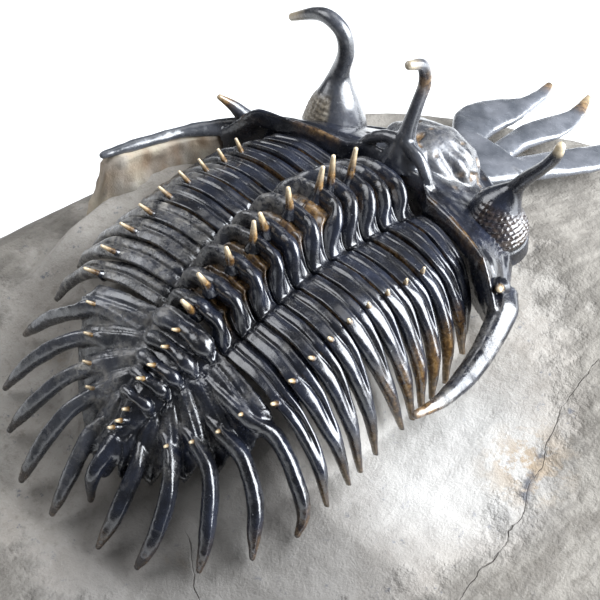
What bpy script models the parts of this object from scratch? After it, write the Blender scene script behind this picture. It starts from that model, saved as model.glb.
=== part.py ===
"""A fossil trilobite with a three-pronged head trident, prepared free of the limestone that it lies on.

Lengths here are millimetres in the animal's own frame: +X to its right, +Y to its head, +Z up.
MM turns them into metres, and FRAME_SHIFT moves them so that the origin is under the middle of the stone.
"""

import math

import bmesh
import bpy
import numpy as np

MM = 0.001
FRAME_SHIFT = np.array((-6.0, -7.0, 27.0))
GAP = 0.42
OFF_LINE = np.array((0.05, 0.03, 0.01))

# The stone: its size, its broken outline seen from above, and the oval footprint of the animal on it
STONE_SIZE = np.array((70.0, 84.0))
STONE_SIDES = 48
STONE_OUTLINE = (
    (-27.5, -1), (-25, 7), (-22, 15), (-18.5, 21.5), (-14, 27.3), (-11, 32.6), (-7.8, 36.3), (-3, 41),
    (4.5, 46), (16, 49), (28, 42), (38, 24), (41, 6), (36, -14), (22, -29), (4, -35), (-13, -32),
    (-25, -20), (-29, -8),
)
RIM_DROP = 2.6
FOOTPRINT_CENTER = np.array((0.0, 3.0))
FOOTPRINT_HALF_WIDTH = 16.5
FOOTPRINT_AHEAD = 27.5
FOOTPRINT_BEHIND = 21.5
PEDESTAL_DEPTH = 1.5
WALL_TOPS = (
    (-16.2, 14.2, -4.8), (-17.4, 12.2, -4.0), (-18.4, 9.4, -3.6), (-19.2, 6.8, -3.2), (-19.9, 4.4, -2.9),
)
WALL_THICKNESS = 1.3
WALL_FOOT = -10.5

# The animal's back in profile, a parabola along the midline
CREST_TOP = 4.2
CREST_TOP_Y = 7.5
CREST_FALL = 0.026

# Thorax: back edges of the head and of each segment, at the midline, the axial furrow and the small spines
SEGMENTS = 11
SPINELESS_SEGMENTS = 2
RING_BACKS = (18.9, 17.0, 15.0, 13.4, 11.3, 9.7, 6.6, 4.0, 2.5, 0.1, -2.2, -4.1)
FURROW_BACKS = (17.5, 15.75, 13.6, 11.6, 9.5, 7.5, 5.4, 3.4, 1.5, -0.5, -2.4, -4.2)
PLATE_BACKS = (16.1, 14.5, 12.95, 11.15, 9.15, 7.1, 5.0, 2.85, 0.85, -1.2, -3.3, -4.95)
TIP_X = (12.9, 14.0, 14.8, 15.0, 15.1, 15.1, 15.1, 15.2, 15.4, 15.6, 15.7)
TIP_Y = (14.0, 12.5, 9.6, 7.8, 6.5, 5.4, 4.2, 1.1, -0.9, -2.4, -5.0)
MID_SPINE_X = 9.9
PLATE_DROP = 2.7
TIP_HEIGHT = 1.1

# How much the plates next to the head rise towards its rim, and how narrow and low the last rings are
PLATE_LIFTS = {1: 1.5, 2: 0.9, 3: 0.35}
AXIS_SHARES = {9: 0.97, 10: 0.92, 11: 0.84}
FURROW_RISES = {9: 0.1, 10: 0.3, 11: 0.5}

# Pygidium, front to back: the ring crests and axial furrows, both with the axis end, and the ribs' courses
RIBS = 5
RIB_CRESTS = (
    (0, -5.2, -0.7), (0, -6.4, -1.7), (0, -7.9, -2.6), (0, -9.1, -3.2), (0, -10.5, -4.0), (0, -12.6, -6.2),
)
RIB_FURROWS = (
    (3.1, -5.3, -1.7), (2.75, -6.5, -2.4), (2.35, -7.7, -3.1), (1.95, -8.7, -4.1), (1.6, -10.1, -5.2),
    (0.6, -12.4, -6.9),
)
RIB_MIDS = ((8.2, -6.5, -2.5), (7.1, -7.9, -4.2), (5.7, -9.4, -5.3), (4.1, -10.6, -6.1), (2.2, -11.9, -7.2))
RIB_BENDS = (
    (13.0, -6.8, -4.4), (11.4, -9.0, -6.2), (9.2, -11.3, -7.7), (6.2, -13.7, -8.9), (2.9, -14.9, -10.4),
)

# Courses of the long tail spines outside the shield, front pair to last, on its right and on its left
RIGHT_TAIL_SPINES = (
    ((10.8, -5.7, -4.1), (13.6, -6.3, -6.5), (15.0, -7.0, -8.6), (15.3, -8.0, -9.9)),
    ((9.9, -8.2, -5.5), (12.2, -9.4, -7.8), (13.2, -10.6, -9.7), (13.8, -11.4, -11.0)),
    ((8.2, -10.3, -6.7), (9.9, -12.2, -9.0), (10.7, -13.5, -10.9), (11.0, -14.4, -12.3)),
    ((5.9, -12.3, -7.6), (6.9, -14.5, -10.0), (6.9, -16.0, -12.1), (6.6, -16.9, -13.5)),
    ((2.7, -13.1, -8.5), (3.0, -15.2, -10.7), (2.9, -16.5, -12.5), (2.8, -17.5, -13.8)),
)
LEFT_TAIL_SPINES = (
    ((-9.9, -7.3, -4.1), (-12.5, -7.8, -6.3), (-14.3, -8.3, -8.4), (-15.6, -8.5, -10.1)),
    ((-9.0, -9.3, -5.4), (-11.0, -10.9, -7.5), (-12.3, -12.1, -9.6), (-13.4, -12.8, -11.6)),
    ((-7.0, -11.3, -6.5), (-8.5, -13.1, -8.8), (-9.6, -14.3, -10.9), (-10.4, -15.0, -12.6)),
    ((-4.8, -12.9, -7.4), (-5.6, -15.1, -9.8), (-6.1, -16.6, -12.1), (-6.5, -17.3, -13.7)),
    ((-2.3, -13.4, -8.4), (-2.1, -15.6, -10.6), (-2.1, -17.0, -12.5), (-2.3, -17.8, -13.9)),
)
AXIS_END = np.array((0.0, -12.6, -6.2))
MEDIAN_TIP = np.array((0.0, -15.6, -12.0))

# Head
HEAD_BACK_Y = 17.8
HEAD_BACK_CURVE = 0.016
HEAD_FRONT_Y = 27.8
HEAD_HALF_WIDTH = 15.4
HEAD_CORNER_Y = 15.6
HEAD_UNDERSIDE = -4.9
EYE_Y = 21.9
LEFT_EYE_X = -9.4
RIGHT_EYE_X = 8.7
MIDDLE_HORN = (
    (0, 20.2, 1.5), (0, 20.7, 3.6), (0, 21.7, 5.8), (0, 22.5, 7.6), (0, 22.1, 9.6), (0, 20.5, 10.6),
)
LEFT_HORN = (
    (-9.8, 22.9, 2.3), (-9.2, 23.0, 5.0), (-9.6, 23.0, 6.9), (-11.1, 23.0, 7.6), (-12.8, 23.0, 7.1),
    (-15.2, 22.8, 5.5),
)
RIGHT_HORN = ((9.7, 22.9, 1.9), (10.6, 23.1, 3.5), (11.9, 23.4, 5.3), (13.0, 23.4, 7.2), (13.4, 23.4, 8.5))
RIGHT_GENAL_SPINE = (
    (13.8, 16.9, -2.9), (15.3, 15.2, -3.0), (16.2, 12.4, -3.9), (16.6, 9.4, -4.9), (16.7, 6.6, -5.2),
    (16.6, 3.8, -4.6),
)
LEFT_GENAL_SPINE = (
    (-13.8, 16.9, -2.5), (-15.6, 15.2, -2.4), (-17.4, 12.4, -2.1), (-18.4, 9.6, -1.8), (-19.2, 7.0, -1.6),
    (-19.9, 4.8, -1.5),
)

# The trident's flat parts from above, in rows of y, left edge and right edge; it slopes down to the front
PALM_TILT = 0.22
PALM_START = (29.0, -4.4)
PALM = ((25.5, -1.2, 3.1), (27.0, -1.2, 4.2), (28.6, -1.6, 4.9), (30.0, -2.9, 5.5), (31.0, -3.8, 6.0))
PRONGS = (
    (
        (29.8, -2.8, 0.4), (31.2, -4.0, -0.3), (32.6, -4.9, -0.8), (34.6, -5.0, -0.95), (36.6, -4.4, -0.95),
        (39.2, -3.0, -1.4), (41.2, -3.0, -1.7), (43.2, -3.1, -2.5),
    ),
    (
        (29.8, 0.4, 2.7), (31.4, 0.45, 2.65), (33.4, 0.2, 2.35), (35.8, -0.1, 2.7), (38.0, 0.15, 3.1),
        (41.4, 0.7, 2.4), (44.6, 0.3, 0.9),
    ),
    (
        (29.8, 2.6, 5.4), (31.6, 2.9, 6.2), (34.0, 3.7, 7.3), (36.5, 4.6, 8.2), (39.0, 5.6, 8.2),
        (41.5, 6.3, 7.7), (43.4, 6.4, 6.9),
    ),
)


def smooth(points, steps):
    """Points along a Catmull-Rom curve through the given ones, with this many steps in each stretch."""
    points = np.asarray(points, float)
    padded = np.vstack((2 * points[0] - points[1], points, 2 * points[-1] - points[-2]))
    made = []
    for before, start, end, after in zip(padded, padded[1:], padded[2:], padded[3:]):
        for t in np.arange(steps) / steps:
            bend = 2 * before - 5 * start + 4 * end - after
            twist = -before + 3 * start - 3 * end + after
            made.append(0.5 * (2 * start + (end - before) * t + bend * t**2 + twist * t**3))
    made.append(points[-1])
    return np.array(made)


def unit(vector):
    return np.asarray(vector) / np.linalg.norm(vector)


def ease(x, start, end):
    """0 before start and 1 after end, with a smooth rise between."""
    t = np.clip((x - start) / (end - start), 0, 1)
    return t * t * (3 - 2 * t)


def crest_height(y):
    return CREST_TOP - CREST_FALL * (y - CREST_TOP_Y) ** 2


def crest_slope(y):
    return -2 * CREST_FALL * (y - CREST_TOP_Y)


def ground(x, y):
    """Height of the stone round the animal: high at the head, falling to the tail and the front."""
    places = (-40, -18, -12, -5, 2, 10, 16, 27, 33, 40, 50)
    heights = (-17, -14.6, -11.8, -9.6, -9.0, -7.8, -6.4, -6.1, -7.4, -9.2, -11)
    behind_wall = ease(x, -21.0, -18.8) * (1 - ease(x, -13, -9)) * ease(y, -6.5, 0.5) * (1 - ease(y, 9, 16))
    return float(np.interp(y, places, heights)) + 3.4 * float(behind_wall) - 0.003 * max(x - 14, 0) ** 2


def section(*points):
    return np.array(points)


# Cross-sections, front edge to back edge along the top and then back under: shares of length and thickness
RING_SECTION = section(
    (0.5, -0.75), (0.32, -0.1), (0.02, 0.22), (-0.3, 0.12), (-0.5, -0.35), (-0.4, -1), (0.4, -1),
)
PLATE_SECTION = section(
    (0.5, -0.5), (0.3, -0.12), (0.08, -0.38), (-0.22, 0), (-0.5, -0.35), (-0.4, -1), (0.4, -1),
)
SPINE_SECTION = section(
    (0.5, -0.5), (0.33, -0.1), (0, 0), (-0.33, -0.1), (-0.5, -0.5), (-0.3, -0.95), (0.3, -0.95),
)
BLADE_SECTION = section((0.5, -0.5), (0, 0), (-0.5, -0.5), (-0.25, -1), (0.25, -1))


def round_section(sides):
    turns = math.tau * np.arange(sides) / sides
    return np.column_stack((np.cos(turns), np.sin(turns))) / 2


def blade_rings(centers, side, lengths, thicknesses, sections, straight=0):
    """Cross-sections along a curve: the first ones lie along side, the others are set square to the curve."""
    centers = np.asarray(centers, float)
    tangents = np.gradient(centers, axis=0)
    rings = []
    for count, center in enumerate(centers):
        tangent = unit(tangents[count])
        if count >= straight:
            side = unit(side - np.dot(side, tangent) * tangent)
        up = unit(np.cross(tangent, side))
        along, across = sections[count].T * ((lengths[count],), (thicknesses[count],))
        rings.append(center + np.outer(along, side) + np.outer(across, up))
    return rings


def tapered(points, measures, steps, side, outline):
    """A loft along a smooth curve; each measure gives the width and thickness at one of its points."""
    centers = smooth(points, steps)
    places = np.linspace(0, len(points) - 1, len(centers))
    widths, thicknesses = (np.interp(places, range(len(points)), values) for values in zip(*measures))
    return blade_rings(centers, np.array(side, float), widths, thicknesses, [outline] * len(centers))


def mirrored(rings):
    return [ring * (-1, 1, 1) for ring in rings]


def loft(rings, band=False):
    """A closed mesh through cross-sections that all have the same number of points.

    A band's sections run out along its top and back under it, so a strip between the two closes each end.
    """
    mesh = bmesh.new()
    rows = [[mesh.verts.new((point + FRAME_SHIFT) * MM) for point in ring] for ring in rings]
    count = len(rows[0])
    for row, following in zip(rows, rows[1:]):
        for k in range(count):
            mesh.faces.new((row[k], row[(k + 1) % count], following[(k + 1) % count], following[k]))
    for end in (rows[0], rows[-1]):
        if band:
            for k in range(count // 2 - 1):
                mesh.faces.new((end[k], end[k + 1], end[-2 - k], end[-1 - k]))
        else:
            mesh.faces.new(end)
    bmesh.ops.triangulate(mesh, faces=mesh.faces[:])
    bmesh.ops.recalc_face_normals(mesh, faces=mesh.faces[:])
    return mesh


def material(name, color, roughness):
    made = bpy.data.materials.new(name)
    made.use_nodes = True
    shader = made.node_tree.nodes["Principled BSDF"]
    shader.inputs["Base Color"].default_value = (*color, 1)
    shader.inputs["Roughness"].default_value = roughness
    shader.inputs["Metallic"].default_value = 0
    return made


def mesh_data(name, mesh):
    data = bpy.data.meshes.new(name)
    mesh.to_mesh(data)
    mesh.free()
    return data


def place(name, mesh, look):
    data = mesh_data(name, mesh)
    data.materials.append(look)
    data.shade_smooth()
    data.set_sharp_from_angle(angle=math.radians(35))
    made = bpy.data.objects.new(name, data)
    bpy.context.scene.collection.objects.link(made)
    return made


def grow(body, shapes):
    """Joins spines and other outgrowths to a body with one Boolean union.

    Each stands a hair off its line, so that its edges never meet an edge of the body end to end.
    """
    group = bpy.data.collections.new(body.name + "_outgrowths")
    bpy.context.scene.collection.children.link(group)
    for count, mesh in enumerate(shapes):
        name = f"{body.name}_outgrowth_{count}"
        helper = bpy.data.objects.new(name, mesh_data(name, mesh))
        helper.location = OFF_LINE * MM
        helper.hide_render = True
        helper.display_type = "WIRE"
        group.objects.link(helper)
    union = body.modifiers.new("Outgrowths", "BOOLEAN")
    union.operation = "UNION"
    union.operand_type = "COLLECTION"
    union.collection = group


def back_spine(foot, lean, height, width):
    """A small spine on a ring, a plate or a rib, from inside the plate to its blunt tip."""
    foot, lean = np.array(foot), unit(lean)
    ends = (foot - 0.35 * lean, foot + height * lean)
    sizes = [(width, width), (width * 0.4, width * 0.4)]
    return loft(tapered(ends, sizes, 1, (1, 0, 0), round_section(4)))


def half_segment(number, left):
    """Cross-sections of one thoracic segment from its crest out to the tip of its pleural spine."""
    backs = [place_backs[number] for place_backs in (RING_BACKS, FURROW_BACKS, PLATE_BACKS)]
    fronts = [place_backs[number - 1] - GAP for place_backs in (RING_BACKS, FURROW_BACKS, PLATE_BACKS)]
    crest_y, furrow_y, plate_y = ((front + back) / 2 for front, back in zip(fronts, backs))
    ring_length, furrow_length, plate_length = (front - back for front, back in zip(fronts, backs))
    crest, tip_x, tip_y = crest_height(crest_y), TIP_X[number - 1], TIP_Y[number - 1]
    lift, rise = PLATE_LIFTS.get(number, 0), FURROW_RISES.get(number, 0)
    axis = AXIS_SHARES.get(number, 1)
    plate_z = crest - PLATE_DROP + lift
    reach = tip_x - MID_SPINE_X
    tip_z = ground(-tip_x if left else tip_x, tip_y) + TIP_HEIGHT
    course = (
        (0.0, crest_y, crest),
        (1.6 * axis, crest_y, crest - 0.25),
        (3.0 * axis, (crest_y + furrow_y) / 2, crest - 1.1 + 0.3 * rise),
        (3.8 * axis, furrow_y, crest - 2.3 + 0.5 * lift + rise),
        (4.8 * axis, furrow_y - 0.1, crest - 2.6 + 0.7 * lift + rise),
        (7.4, (furrow_y + plate_y) / 2, crest - 2.35 + lift + 0.4 * rise),
        (MID_SPINE_X, plate_y, plate_z),
        (MID_SPINE_X + 0.38 * reach, plate_y - 0.1, plate_z + 0.17 * (tip_z - plate_z)),
        (MID_SPINE_X + 0.78 * reach, (plate_y * 2 + tip_y) / 3, plate_z + 0.58 * (tip_z - plate_z)),
        (tip_x, tip_y, tip_z),
    )
    lengths = (ring_length, ring_length, (ring_length + furrow_length) / 2, furrow_length, furrow_length)
    lengths += ((furrow_length + plate_length) / 2, plate_length, 1.3, 0.95, 0.45)
    thicknesses = (1.3, 1.3, 1.2, 1.0, 0.9, 0.9, 0.9, 0.85, 0.75, 0.45)
    sections = [RING_SECTION] * 3 + [(RING_SECTION + PLATE_SECTION) / 2] + [PLATE_SECTION] * 3
    sections += [(PLATE_SECTION + SPINE_SECTION) / 2] + [SPINE_SECTION] * 2
    forward = unit((0, 1, crest_slope(crest_y) * (1 - 0.4 * lift)))
    return blade_rings(course, forward, lengths, thicknesses, sections, straight=7)


def segment_spines(number):
    """The spine on the crest of one segment and the two on its plates."""
    back = RING_BACKS[number]
    slope = crest_slope(back)
    yield back_spine((0, back + 0.5, crest_height(back + 0.5) - 0.1), (0, -slope - 0.1, 1), 2.6, 0.95)
    plate_y = (PLATE_BACKS[number] + PLATE_BACKS[number - 1]) / 2
    plate_z = crest_height((back + RING_BACKS[number - 1]) / 2) - PLATE_DROP + PLATE_LIFTS.get(number, 0)
    for side in (-1, 1):
        foot = (side * MID_SPINE_X, plate_y - 0.3, plate_z - 0.2)
        yield back_spine(foot, (side * 0.35, -slope - 0.3, 1), 1.6, 0.7)


def thorax(look):
    for number in range(1, SEGMENTS + 1):
        left = mirrored(half_segment(number, left=True))
        right = half_segment(number, left=False)
        body = place(f"thoracic_segment_{number:02d}", loft(left[:0:-1] + right), look)
        if number > SPINELESS_SEGMENTS:
            grow(body, segment_spines(number))


def along_ribs(values, rib):
    """A rib's measure at any place between the ribs, which are numbered from 0."""
    return np.array([np.interp(rib, range(len(values)), column) for column in np.transpose(values)])


def tail_row(rib):
    """Half of one row across the tail shield, from the midline to its margin."""
    crest, furrow = along_ribs(RIB_CRESTS, rib), along_ribs(RIB_FURROWS, rib)
    mid, bend = along_ribs(RIB_MIDS, rib), along_ribs(RIB_BENDS, rib)
    if rib < 0:
        crest = np.array((0, RING_BACKS[-1] - GAP, -0.1))
        furrow = np.array((3.0, FURROW_BACKS[-1] - GAP, -1.25))
        mid, bend = mid + (0.4, 1.1, 0.6), bend + (-0.8, 1.1, 0.6)
    if rib > RIBS - 1:
        last = rib - RIBS + 1
        mid, bend = mid + (-0.8 * last, -1.2 * last, -0.9 * last), bend + (-1.3 * last, 0, -0.2 * last)
    relief = (0, 0, 0.15 * math.cos(math.tau * rib))
    down = furrow - crest
    half_way = (furrow + mid) / 2
    return np.array((
        crest + relief,
        crest + down * (0.5, 0.5, 0.2) + relief,
        crest + down * (0.85, 0.85, 0.65),
        furrow,
        half_way + (0, 0, 0.2) + relief,
        mid + relief,
        mid * 0.6 + bend * 0.4 + relief - (0, 0, 0.15),
    ))


def tail_shield():
    """The fused plates of the tail, as a loft of rows from the front edge to the end of the axis."""
    rings = []
    for rib in (-0.5, *np.arange(0, RIBS + 0.1, 0.5)):
        half = tail_row(rib)
        top = np.vstack((half[:0:-1] * (-1, 1, 1), half))
        rings.append(np.vstack((top, top[::-1] - (0, 0, 1.1))))
    return loft(rings, band=True)


def tail_spines():
    """The marginal spines, the short one on the midline and the small ones on rings and ribs."""
    sizes = [(1.5, 0.8), (1.5, 0.9), (1.4, 0.85), (1.1, 0.8), (0.55, 0.5)]
    for side, courses in ((1, RIGHT_TAIL_SPINES), (-1, LEFT_TAIL_SPINES)):
        for rib, outside in enumerate(courses):
            mid, bend = (np.array(row[rib]) * (side, 1, 1) for row in (RIB_MIDS, RIB_BENDS))
            start = mid * 0.93 + bend * 0.07 - (0, 0, 0.4)
            course = (start, *(np.array(outside) + (0, 0, 0.35)))
            yield loft(tapered(course, sizes, 1, (0, 1, 0.3), BLADE_SECTION))
    for rib in range(RIBS - 1):
        yield back_spine(np.array(RIB_CRESTS[rib]) - (0, 0.1, 0), (0, -0.9, 0.8), 1.1, 0.65)
        for side in (-1, 1):
            foot = np.array(RIB_MIDS[rib]) * (side, 1, 1)
            yield back_spine(foot, (side * 0.4, -0.8, 0.8), 1.1, 0.65)
    middle = (AXIS_END + MEDIAN_TIP) / 2 + (0, -0.9, -0.2)
    course = (AXIS_END + (0, 0.3, -1.2), middle, MEDIAN_TIP)
    yield loft(tapered(course, [(1.3, 1.3), (1.0, 1.0), (0.45, 0.45)], 2, (1, 0, 0), round_section(6)))


def head_section(x):
    """One cut through the head shield at this x: back rim, cheek, front margin and flat underside."""
    reach = abs(x)
    back = HEAD_BACK_Y - HEAD_BACK_CURVE * reach**2
    back += (RING_BACKS[0] - HEAD_BACK_Y) * (1 - ease(reach, 2.5, 5))
    front = HEAD_FRONT_Y - (HEAD_FRONT_Y - HEAD_CORNER_Y) * (reach / HEAD_HALF_WIDTH) ** 2
    rim = 1.0 - 2.6 * float(ease(reach, 12.3, HEAD_HALF_WIDTH))
    margin = -3.7
    profile = ((0.0, 0.1), (0.12, 0.0), (0.28, 0.16), (0.5, 0.36), (0.8, 0.72), (1.0, 1.0))
    points = [(back + along * (front - back), rim + fall * (margin - rim)) for along, fall in profile]
    points += [(front - 0.4, HEAD_UNDERSIDE), (back + 0.2, HEAD_UNDERSIDE)]
    return np.array([(x, y, z) for y, z in points])


def head_shield():
    stations = np.array((HEAD_HALF_WIDTH - 0.1, 14.6, 13.4, 12.0, 10.0, 7.5, 5.0, 2.5))
    return loft([head_section(x) for x in (*-stations, 0.0, *stations[::-1])])


def occipital_ring():
    """The last ring of the head, which carries the middle horn."""
    arch = ((0, 0), (1.6, 0.25), (3.0, 1.15), (3.9, 2.4), (4.6, 3.6))
    half = [(x, 19.9 - 0.06 * x**2, 2.7 - drop) for x, drop in arch]
    course = [(-x, y, z) for x, y, z in half[:0:-1]] + half
    lengths = [1.9 - 0.04 * x**2 for x, _, _ in course]
    return loft(blade_rings(course, np.array((0.0, 1.0, 0.0)), lengths, [1.8] * 9, [RING_SECTION] * 9))


def glabella():
    """The swollen middle of the head, widest at its front."""
    shape = bmesh.new()
    bmesh.ops.create_uvsphere(shape, u_segments=14, v_segments=8, radius=1.0)
    for vert in shape.verts:
        x, y, z = vert.co
        point = np.array((x * (4.7 + 0.7 * y), 23.1 + y * 4.3, -1.6 + z * (4.0 - 0.3 * y)))
        vert.co = (point + FRAME_SHIFT) * MM
    return shape


def horn(points, widths, sides=5):
    return loft(tapered(points, [(width, width) for width in widths], 2, (0, 1, 0), round_section(sides)))


def eye(foot_x, course, widths):
    """A tall eye tower whose top draws out into a curved horn."""
    waist_x = foot_x * 0.8 + course[0][0] * 0.2
    tower = ((foot_x, EYE_Y, -4.4), (foot_x, EYE_Y, -2.4), (waist_x, EYE_Y + 0.2, -0.2))
    return horn((*tower, *course), (5.4, 5.1, 3.8, *widths), sides=7)


def genal_spine(course):
    """The blade that a cheek draws out into at its back corner."""
    sizes = [(2.6, 1.8), (2.1, 1.6), (1.8, 1.3), (1.6, 1.0), (1.2, 0.8), (0.5, 0.5)]
    return loft(tapered(course, sizes, 2, (1, 0.3, 0), BLADE_SECTION))


def palm_height(y):
    start, height = PALM_START
    return height - PALM_TILT * (y - start)


def fork_plate(edges, thickness, rise=0.0):
    """A flat part of the trident between its left and right edges, each row given as (y, left x, right x)."""
    rings = []
    for count, (y, left, right) in enumerate(edges):
        share = count / (len(edges) - 1)
        half, middle = (right - left) / 2, (left + right) / 2
        height = thickness * (1 - 0.5 * share if rise else 1)
        lift = rise * max(share - 0.55, 0) ** 2
        outline = round_section(6) * (2 * half, height)
        rings.append(np.array([(middle + u, y, palm_height(y) + lift + w) for u, w in outline]))
    return loft(rings)


def trident():
    """The fork before the head: a broad flat palm and three prongs whose tips turn up."""
    yield fork_plate(PALM, 1.5)
    for prong in PRONGS:
        yield fork_plate(prong, 1.4, 1.0)


def head_outgrowths():
    yield occipital_ring()
    yield glabella()
    yield horn(MIDDLE_HORN, (2.6, 1.24, 1.0, 0.96, 0.9, 0.6))
    yield eye(LEFT_EYE_X, LEFT_HORN, (1.3, 1.1, 1.0, 0.96, 0.8, 0.5))
    yield eye(RIGHT_EYE_X, RIGHT_HORN, (1.3, 1.04, 0.96, 0.9, 0.6))
    yield genal_spine(RIGHT_GENAL_SPINE)
    yield genal_spine(LEFT_GENAL_SPINE)
    yield back_spine((14.4, 15.9, -1.0), (0.5, -0.9, 1), 1.6, 1.3)
    yield back_spine((-14.4, 15.9, -0.9), (-0.7, -0.9, 1.1), 2.8, 1.4)
    yield from trident()


def cephalon(look):
    grow(place("cephalon", head_shield(), look), head_outgrowths())


def pygidium(look):
    grow(place("pygidium", tail_shield(), look), tail_spines())


def stone_outline(directions):
    """Points of the stone's outline in these directions from the animal, with its exact overall size."""
    curve = smooth((*STONE_OUTLINE, STONE_OUTLINE[0]), 4)[:-1] - FOOTPRINT_CENTER
    turns = np.arctan2(curve[:, 1], curve[:, 0])
    order = np.argsort(turns)
    radii = np.interp(directions, turns[order], np.hypot(*curve.T)[order], period=math.tau)
    points = FOOTPRINT_CENTER + radii[:, None] * np.column_stack((np.cos(directions), np.sin(directions)))
    low, high = points.min(axis=0), points.max(axis=0)
    return (points - (low + high) / 2) * STONE_SIZE / (high - low) - FRAME_SHIFT[:2]


def footprint(directions):
    """Points of the oval that the animal covers, along the tips of its spines."""
    x, y = np.cos(directions), np.sin(directions)
    radii = 1 / np.hypot(x / FOOTPRINT_HALF_WIDTH, y / np.where(y > 0, FOOTPRINT_AHEAD, FOOTPRINT_BEHIND))
    return FOOTPRINT_CENTER + radii[:, None] * np.column_stack((x, y))


def pedestal(x, y):
    """Height of the stone left standing under the animal."""
    narrowing = float(np.interp(y, (-18, -16, -13, -10, -6), (0.1, 0.35, 0.6, 0.8, 1.0)))
    reach = abs(x) * 1.07 / narrowing
    places = (0, 2.5, 4.2, 9, 10.6, 12, 13.6, 15, 16)
    drops = (1.2, 1.7, 3.2, 3.4, 4.1, 5.6, 8.5, 13, 20)
    drop = float(np.interp(reach, places, drops))
    behind_tail = 0.3 * max(-10.5 - y, 0) ** 2
    under_tail = 0.9 * float(ease(-y, 2.5, 5.5))
    under_head = 7.0 * float(ease(y, 13.5, 16.5))
    return crest_height(y) - drop - PEDESTAL_DEPTH - behind_tail - under_tail - under_head


def genal_wall():
    """The thin wall of stone left under the left genal spine."""
    rings = []
    for x, y, top in WALL_TOPS:
        inner, outer = x + WALL_THICKNESS / 2, x - WALL_THICKNESS / 2
        corners = ((inner, y, WALL_FOOT), (inner, y, top), (outer, y, top), (outer, y, WALL_FOOT))
        rings.append(np.array(corners))
    return loft(rings)


def matrix(look):
    """The stone: rings of points from its middle out to the rim, down its side and to its flat underside."""
    directions = math.tau * np.arange(STONE_SIDES) / STONE_SIDES
    inner, outer = footprint(directions), stone_outline(directions)
    rings = []
    for share in (0.02, 0.25, 0.45, 0.6, 0.72, 0.82, 0.9, 0.98):
        plan = FOOTPRINT_CENTER + (inner - FOOTPRINT_CENTER) * share
        rings.append([(x, y, max(ground(x, y), pedestal(x, y))) for x, y in plan])
    for share in (0.08, 0.25, 0.5, 0.75, 0.92, 1.0):
        plan = inner + (outer - inner) * share
        rim = RIM_DROP * max(share - 0.6, 0) ** 2 / 0.4**2
        rings.append([(x, y, max(ground(x, y), pedestal(x, y)) - rim) for x, y in plan])
    underside = -FRAME_SHIFT[2]
    edge = np.array(rings[-1])
    waist = edge * (1, 1, 0.5) + (0, 0, underside * 0.5)
    foot_plan = -FRAME_SHIFT[:2] + (outer + FRAME_SHIFT[:2]) * 0.96
    foot = np.column_stack((foot_plan, np.full(STONE_SIDES, underside)))
    body = place("matrix", loft([*(np.array(ring) for ring in rings), waist, foot]), look)
    grow(body, [genal_wall()])


def build():
    for old in list(bpy.data.objects):
        bpy.data.objects.remove(old, do_unlink=True)
    calcite = (0.03, 0.032, 0.04)
    cephalon(material("head_calcite", calcite, 0.3))
    thorax(material("thorax_calcite", calcite, 0.3))
    pygidium(material("tail_calcite", calcite, 0.32))
    matrix(material("limestone", (0.52, 0.49, 0.44), 0.9))


build()
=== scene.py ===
"""The looks of a fossil trilobite on its limestone: fine surfaces, materials, floor, light and camera.

Lengths are millimetres in the animal's own frame: +X to its right, +Y to its head, +Z up.
FRAME_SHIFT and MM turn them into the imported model's frame, in metres.
"""

import math

import bmesh
import bpy
import numpy as np
from mathutils import Matrix


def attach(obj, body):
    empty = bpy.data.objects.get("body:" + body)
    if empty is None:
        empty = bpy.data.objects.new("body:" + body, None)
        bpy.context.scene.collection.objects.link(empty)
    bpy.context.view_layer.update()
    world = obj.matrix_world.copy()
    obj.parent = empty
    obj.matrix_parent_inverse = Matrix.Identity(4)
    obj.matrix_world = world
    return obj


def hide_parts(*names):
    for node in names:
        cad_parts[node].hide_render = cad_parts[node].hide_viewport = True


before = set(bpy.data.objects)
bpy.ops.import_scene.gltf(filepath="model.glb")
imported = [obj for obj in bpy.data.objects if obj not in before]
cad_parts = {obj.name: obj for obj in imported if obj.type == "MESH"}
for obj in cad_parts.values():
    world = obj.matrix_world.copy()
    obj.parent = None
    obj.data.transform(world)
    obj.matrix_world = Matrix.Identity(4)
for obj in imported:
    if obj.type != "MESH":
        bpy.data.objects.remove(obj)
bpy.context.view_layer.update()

MM = 0.001
FRAME_SHIFT = np.array((-6.0, -7.0, 27.0))

# Camera: where it looks from, and where the animal's origin lies in its view
CAMERA_AZIMUTH = 44.2
CAMERA_ELEVATION = 46.0
CAMERA_FIELD = 14.0
CAMERA_DISTANCE = 191.4
CAMERA_OFFSET = (-5.6, 0.7)

# The same driving dimensions as the solids
STONE_SIZE = np.array((70.0, 84.0))
STONE_OUTLINE = (
    (-27.5, -1), (-25, 7), (-22, 15), (-18.5, 21.5), (-14, 27.3), (-11, 32.6), (-7.8, 36.3), (-3, 41),
    (4.5, 46), (16, 49), (28, 42), (38, 24), (41, 6), (36, -14), (22, -29), (4, -35), (-13, -32),
    (-25, -20), (-29, -8),
)
RIM_DROP = 2.6
FOOTPRINT_CENTER = np.array((0.0, 3.0))
FOOTPRINT_HALF_WIDTH = 16.5
FOOTPRINT_AHEAD = 27.5
FOOTPRINT_BEHIND = 21.5
PEDESTAL_DEPTH = 1.1
WALL_TOPS = (
    (-14.4, 16.8, -3.4), (-15.9, 14.8, -2.9), (-17.4, 12.2, -2.5), (-18.4, 9.4, -2.15), (-19.2, 6.8, -1.9),
    (-19.8, 4.7, -1.8),
)
WALL_THICKNESS = 1.3
WALL_FOOT = -10.5

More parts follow.
